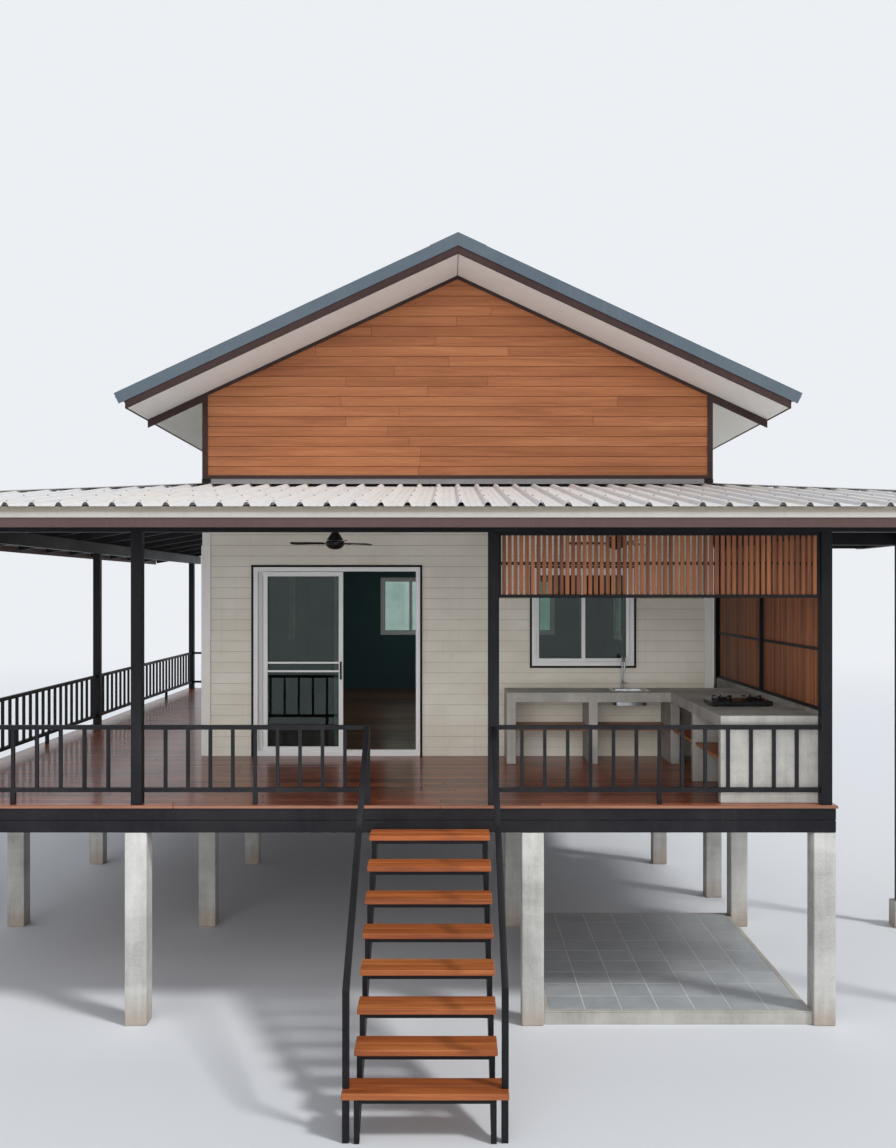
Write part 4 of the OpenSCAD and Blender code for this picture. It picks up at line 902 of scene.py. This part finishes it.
def verandah_screws():
    """Screws on the ribs in five rows, the last one clear of the wall flashing."""
    def lines(run):
        return [0.03 + k / 4 * (run - 0.09) for k in range(4)] + [run - 0.15]
    def seat(x, y, d, run, up):
        return Vector((x, y, EAVE_Z + d * RISE / run)) + up * RIB_HIGH
    up = Vector((0, -RISE, FRONT_RUN)).normalized()
    for x in rib_lines(-X_EAVE, X_EAVE):
        for d in lines(FRONT_RUN):
            if abs(x) < HW + (FRONT_RUN - d) / HIP - 0.14:
                screw(seat(x, Y_EAVE + d, d, FRONT_RUN, up), (1, 0, 0), up)
    for s, y_end in SIDES:
        up = Vector((s * RISE, 0, SIDE_RUN)).normalized()
        for y in rib_lines(Y_EAVE, y_end):
            for d in lines(SIDE_RUN):
                if y > Y_WALL or SIDE_RUN - d > (Y_WALL - y) / HIP + 0.14:
                    screw(seat(s * (X_EAVE - d), y, d, SIDE_RUN, up), (0, 1, 0), up)


for s in (-1, 1):
    down = Vector((s * math.cos(ROOF_TILT), 0, -math.sin(ROOF_TILT)))
    up = Vector((s * math.sin(ROOF_TILT), 0, math.cos(ROOF_TILT)))
    def put(along, y, high):
        screw(Vector((0, y, APEX_Z)) + down * along + up * high, (0, 1, 0), up)
    for y in rib_lines(BARGE_LO.y + 0.002, BARGE_HI.y - 0.002):
        if BARGE_LO.y + 0.18 < y < BARGE_HI.y - 0.18:
            for i in range(1, 5):
                put(0.145 + i * (EAVE_LONG - 0.26) / 4, y, SHEET_UP)
        put(0.2, y, CAP_UP)
    for y in (CAP_LO.y + 0.1, CAP_HI.y - 0.1):
        for i in range(13):
            put(0.42 + i * 0.29, y, END_CAP_UP)

verandah_screws()
screws.build("roof_screws", "zinc", "roof_sheet")


# Upper fascia: folded band along the eaves with a lip at its lower edge, and boards that close its ends
shape = Shape()
z0, z1 = FASCIA_Z, FASCIA_Z + 0.095
out, y_front, lip, face = X_EAVE + 0.02, Y_EAVE - 0.02, 0.012, 0.005
# (distance in from the outermost line, height) round the section
section = [(0.020, z0 + 0.0002), (0.0, z0 + 0.0002), (0.0, z0 + lip), (face - 0.001, z0 + lip + 0.004),
           (face, z0 + lip + 0.010), (face, z0 + 0.052), (0.0145, z0 + 0.060), (0.0155, z1 - 0.002),
           (0.020, z1 - 0.002)]
corners = ((-1, SHEET_HI.y, 0), (-1, y_front, 1), (1, y_front, 1), (1, STRIP_Y, 0))
shape.loft([[(s * (out - d), y + mitre * d, z) for d, z in section] for s, y, mitre in corners],
           caps=True)
low, high = EAVE_Z - 0.1, EAVE_Z + RIB_HIGH + 0.0036
ends = [(X_EAVE, low), (HW, low + RISE), (HW, high + RISE), (X_EAVE, high)]
for s, y in SIDES:
    shape.prism(ends, lambda u, v, w: (s * u, w, v), y + 0.0002, y + 0.02)
shape.build("upper_fascia", "cream", "cream_fascia", replaces="verandah_upper_fascia", bevel=0.0012)


# Ceiling fans
JOINTS = {j["name"]: j for j in frame["record"]["behaviour"]["joints"]}
FAN_R = 0.5


def arc(cx, cy, r, a, b, n=10):
    """Points on an arc from a to b degrees."""
    turns = [math.radians(a + i * (b - a) / n) for i in range(n + 1)]
    return [(cx + r * math.cos(t), cy + r * math.sin(t)) for t in turns]


def fan(side):
    x, y, z = JOINTS[side + "_fan_spin"]["pos_m"]
    top = (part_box("fan_mounts")[1].z - z) * 1000
    mount, rotor = Shape(), Shape()
    mount.turned((x, y, z), [(0, 30), (80, 30), (83.5, 31.5), (84, 34), (82, 40), (77, 49), (72, 56),
                             (55, 82), (38, 108), (30, 122), (26, 130), (18, 134), (11.5, 135),
                             (11.5, top - 74), (20, top - 73), (27, top - 69), (40, top - 52),
                             (50, top - 30), (56, top - 8), (57, top - 3), (57, top - 0.2),
                             (0, top - 0.2)])
    mount.turned((x, y, z + top / 1000 - 0.094), [(0, 0), (15, 0), (17, 2), (17, 12), (15, 14), (0, 14)])
    rotor.turned((x, y, z), [(0, -68), (12, -68), (22, -66.5), (45, -61.5), (66, -51.5), (83, -38),
                             (94, -22), (98.5, -8), (99, -4), (96.5, -2), (96.5, 2), (99, 4), (98, 9),
                             (92, 18.5), (86.5, 23.5), (0, 24)])
    tilt = Matrix.Rotation(math.radians(12), 4, "X")
    blade = arc(0.15, 0, 0.034, 92, 268) + arc(FAN_R - 0.05, 0.004, 0.05, -88, 92, 16)
    iron = arc(0.07, 0, 0.016, 90, 270, 6) + arc(0.19, 0, 0.022, -90, 90)
    for angle in (45, 165, 285):
        turn = Matrix.Translation((x, y, z)) @ Matrix.Rotation(math.radians(angle), 4, "Z") @ tilt
        def plate(outline, low, high):
            rotor.prism(outline, lambda u, v, w: turn @ Vector((u, v, w)), low, high)
        plate(blade, -0.003, 0.003)
        plate(iron, -0.009, -0.0031)
        for u, v in ((0.15, 0.0), (0.186, 0.01), (0.186, -0.01)):
            plate(arc(u, v, 0.005, 0, 324, 9), -0.0115, -0.0085)
            plate(arc(u, v, 0.0045, 0, 324, 9), 0.0028, 0.0045)
    mount_obj = mount.build(f"fan_{side}_mount", "fan", "fan_black", smooth=35)
    rotor.build(f"fan_{side}_rotor", "fan", "fan_black", body=f"{side}_fan",
                replaces=f"fan_rotor_{side}", smooth=35, bevel=0.0006)
    return mount_obj


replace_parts(fan("left"), "fan_mounts")
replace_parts(fan("right"), "fan_mounts")


# Kitchen fittings
def block(shape, cx, cy, half_x, half_y, z0, z1, chamfer):
    shape.board((cx - half_x, cy - half_y, z0), (cx + half_x, cy + half_y, z1), chamfer)


def rounded(hx, hy, r):
    """Rounded rectangle about zero, from half its width and depth."""
    hx, hy = hx - r, hy - r
    return [p for cx, cy, a in ((hx, hy, 0), (-hx, hy, 90), (-hx, -hy, 180), (hx, -hy, 270))
            for p in arc(cx, cy, r, a, a + 90, 7)]


lo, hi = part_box("hob")
x, y, z, top = (lo.x + hi.x) / 2, hi.y - 0.19, lo.z, lo.z + 0.0545
body, iron = Shape(), Shape()
block(body, x, y, 0.3, 0.19, z + 0.008, z + 0.052, 0.006)
for fx in (-0.26, 0.26):
    for fy in (-0.15, 0.15):
        body.turned((x + fx, y + fy, z), [(0, 0), (14, 0), (16, 2), (16, 9), (0, 9)], n=20)
block(body, x, y, 0.292, 0.182, z + 0.052, top, 0.001)
arm = [(0.058, 0.026), (0.104, 0.030), (0.104, 0.0385), (0.070, 0.0385), (0.058, 0.033)]
foot = [(0.094, 0.0), (0.103, 0.0), (0.104, 0.034), (0.095, 0.034)]
for cx in (x - 0.15, x + 0.15):
    cy = y + 0.02
    c = (cx, cy, top)
    iron.turned(c, [(0, 0), (92, 0), (94, 4), (88, 5), (70, 1.5), (0, 1.5)],
                n=48)
    iron.turned(c, [(0, 2), (40, 2), (46, 8), (46, 16), (43, 18),
                    (43, 21), (38, 24), (18, 25), (16, 22), (0, 22)])
    for px, py in arc(cx, cy, 0.0455, 0, 345, 23):
        block(iron, px, py, 0.0016, 0.0016, top + 0.009, top + 0.0165, 0.0004)
    for k in range(5):
        turn = Matrix.Translation(c) @ Matrix.Rotation(2 * math.pi * k / 5 + 0.3, 4, "Z")
        for outline in (arm, foot):
            iron.prism(outline, lambda u, v, w: turn @ Vector((u, w, v)), -0.004, 0.004)
    iron.tube([(*p, top + 0.004) for p in arc(cx, cy, 0.104, 0, 360, 40)], 0.0035, 8)
    ky, kz = y - 0.19, z + 0.03
    body.turned((cx, ky, kz), [(0, -18.5), (18, -18.5), (20.5, -16), (22, -2), (22, 0),
                               (0, 0)], AXES["Y"], 32)
    body.board((cx - 0.003, ky - 0.019, kz - 0.019), (cx + 0.003, ky - 0.002, kz + 0.019), 0.001)
body.build("hob_body", "enamel", "black_enamel", replaces="hob", smooth=30)
iron.build("hob_irons", "fan", "black_enamel", smooth=30)

lo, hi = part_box("sink")
x, y, top = (lo.x + hi.x) / 2, (lo.y + hi.y) / 2, hi.z
shape = Shape()
# half width, half depth, corner radius and height of the loops round the rim and down the bowl
loops = [(0.186, 0.146, 0.05, -0.17), (0.186, 0.146, 0.05, -0.004), (0.215, 0.175, 0.022, -0.0038),
         (0.215, 0.175, 0.022, -0.0015), (0.2125, 0.1725, 0.020, 0.0), (0.186, 0.146, 0.05, 0.0),
         (0.182, 0.142, 0.05, -0.003), (0.180, 0.140, 0.05, -0.012), (0.176, 0.136, 0.05, -0.13),
         (0.166, 0.126, 0.05, -0.150), (0.145, 0.105, 0.045, -0.160), (0.047, 0.047, 0.0469, -0.164),
         (0.045, 0.045, 0.0449, -0.17)]
shape.loft([[(x + a, y + b, top + dz) for a, b in rounded(hx, hy, r)] for hx, hy, r, dz in loops],
           closed=True)
shape.turned((x, y, top - 0.1695), [(0, 0), (44.5, 0), (44.5, 3), (30, 1), (0, 1)], n=32)
for px, py in arc(x, y, 0.03, 0, 120, 2):
    shape.tube([(2 * x - px, 2 * y - py, top - 0.1675), (px, py, top - 0.1675)], 0.0018, 6)
shape.build("sink_bowl", "bright", "steel_bright", replaces="sink", smooth=40)

lo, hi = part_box("tap")
x, y, z = lo.x + 0.023, hi.y - 0.023, lo.z
shape = Shape()
shape.turned((x, y, z), [(0, 0), (22.5, 0), (23, 1), (23, 6), (19, 9), (17, 14), (16.5, 85), (14.5, 88),
                         (0, 88)], n=32)
arch = [(y, z + 0.08)] + arc(y - 0.08, z + 0.3, 0.08, 0, 180, 24) + [(y - 0.16, z + 0.235)]
shape.tube([(x, *p) for p in arch], 0.0115, 20)
shape.turned((x, y - 0.16, z + 0.22), [(0, 0), (10, 0), (12, 2), (12, 18), (0, 18)], n=24)
shape.turned((x + 0.008, y, z + 0.06), [(0, 0), (9, 0), (9, 18), (6, 20), (0, 20)], AXES["X"], 20)
shape.tube([(x + 0.024, y, z + 0.06), (x + 0.050, y, z + 0.064), (x + 0.0595, y, z + 0.066)], 0.0045, 12)
shape.build("tap_body", "bright", "steel_bright", replaces="tap", smooth=40)


# Glazing gaskets and door tracks
def gaskets(name, node, body="house"):
    """Thin black seals round each pane, outside and inside."""
    shape = Shape()
    for lo, hi in islands(node):
        thin = 1 if hi.y - lo.y < hi.x - lo.x else 0
        u = 1 - thin
        for w in (lo[thin] - 0.0045, hi[thin] + 0.0005):
            for a, b, c, d in border(lo[u], hi[u], lo.z, hi.z, 0.006):
                p, q = [0, 0, c], [0, 0, d]
                p[u], q[u], p[thin], q[thin] = a, b, w, w + 0.004
                shape.board(p, q, 0.0008)
    shape.build(name, "trim", "black_trim", body=body)


gaskets("window_seals", "window_glass")
gaskets("door_seals_fixed", "door_glass_fixed")
gaskets("door_seals_sash", "door_sash_glass", "sliding_sash")

# Three low ribs on the sill of the sliding door
shape = Shape()
z = DOOR_LO.z + 0.05
for y in (Y_WALL, Y_WALL + 0.051, Y_WALL + 0.098):
    shape.board((DOOR_LO.x + 0.05, y, z), (DOOR_HI.x - 0.05, y + 0.004, z + 0.010), 0.001)
shape.build("door_tracks", "frame", "white_frame")


# Camera, floor and light
scene = bpy.context.scene
lens = bpy.data.cameras.new("camera")
lens.sensor_width, lens.lens, lens.clip_end = 36, 34.49, 500
lens.shift_x, lens.shift_y = -0.0009, 0.0139
camera = new_object("camera", lens, (-0.1, -15.319, 3.952))
camera.rotation_euler = (math.radians(90), 0, 0)
scene.camera = camera
scene.view_settings.view_transform = "Standard"
BACKDROP = (236, 239, 243)


# Large floor that fades into the backdrop
far = 150
mesh = bpy.data.meshes.new("floor")
mesh.from_pydata([(-far, -far, 0), (far, -far, 0), (far, far, 0), (-far, far, 0)], [], [(0, 1, 2, 3)])
n = Net("pale_floor", Roughness=0.9, specular=0.1, Base_Color=(222, 226, 232))
fade = n.map(n.vector("LENGTH", n.place()), 14.0, 55.0, kind="SMOOTHSTEP")
n.put(n.out, n.blend(fade, n.shader, n.add("Emission", Color=BACKDROP, Strength=1.0)))
mesh.materials.append(n.mat)
new_object("floor", mesh)

world = bpy.data.worlds.new("studio")
scene.world = world
world.use_nodes = True
w = Tree(world.node_tree, "OutputWorld")
rays = w.add("LightPath").outputs
mirrored = w.math("MAXIMUM", rays["Is Camera Ray"], rays["Is Glossy Ray"])
w.put(w.out, w.blend(w.math("MAXIMUM", mirrored, rays["Is Transmission Ray"]),
                     w.add("Background", Color=(0.93, 0.96, 1.0, 1), Strength=0.52),
                     w.add("Background", Color=BACKDROP, Strength=1.0)))


def lamp(name, kind, energy, toward, at=(0, 0, 0), glints=False, **values):
    """Lamp that the camera doesn't see; with glints it shows in mirrors and glass."""
    data = bpy.data.lights.new(name, kind)
    data.energy = energy
    for key, value in values.items():
        setattr(data, key, value)
    obj = new_object(name, data, at)
    obj.rotation_mode = "QUATERNION"
    obj.rotation_quaternion = Vector(toward).to_track_quat("-Z", "Y")
    obj.visible_glossy = obj.visible_transmission = glints
    obj.visible_camera = False


def panel(name, size, energy, at, toward):
    """Soft rectangular lamp."""
    lamp(name, "AREA", energy, toward, at, shape="RECTANGLE", size=size[0], size_y=size[1])


lamp("key", "SUN", 1.8, (-1.0, 0.62, -1.3), glints=True, angle=math.radians(9), color=(1.0, 0.98, 0.95))
lamp("fill", "SUN", 1.3, (0.2, 1.0, -0.1), angle=math.radians(50), color=(1.0, 0.985, 0.96))
lamp("rear_fill", "SUN", 0.5, (-0.35, -1.0, -0.2), angle=math.radians(60), color=(0.96, 0.98, 1.0))
mid_x, mid_y, side_x = (DECK_LO.x + DECK_HI.x) / 2, (Y_WALL + Y_REAR) / 2, (DECK_LO.x - HW) / 2
panel("room", (HW * 1.6, (Y_REAR - Y_WALL) * 0.8), 42.0, (0, mid_y, DECK_Z + 2.88), (0, 0, -1))
panel("verandah", (8.3, 0.7), 39.0, (mid_x, DECK_LO.y - 0.9, DECK_Z + 0.4), (0, 1, 0))
panel("front_ceiling", (8.0, 2.4), 9.0, (mid_x, DECK_LO.y + 1.5, DECK_Z + 2.3), (0, 0, 1))
panel("side_ceiling", (2.0, 8.5), 26.0, (side_x, mid_y, DECK_Z + 2.3), (0, 0, 1))


# End
bpy.context.view_layer.update()
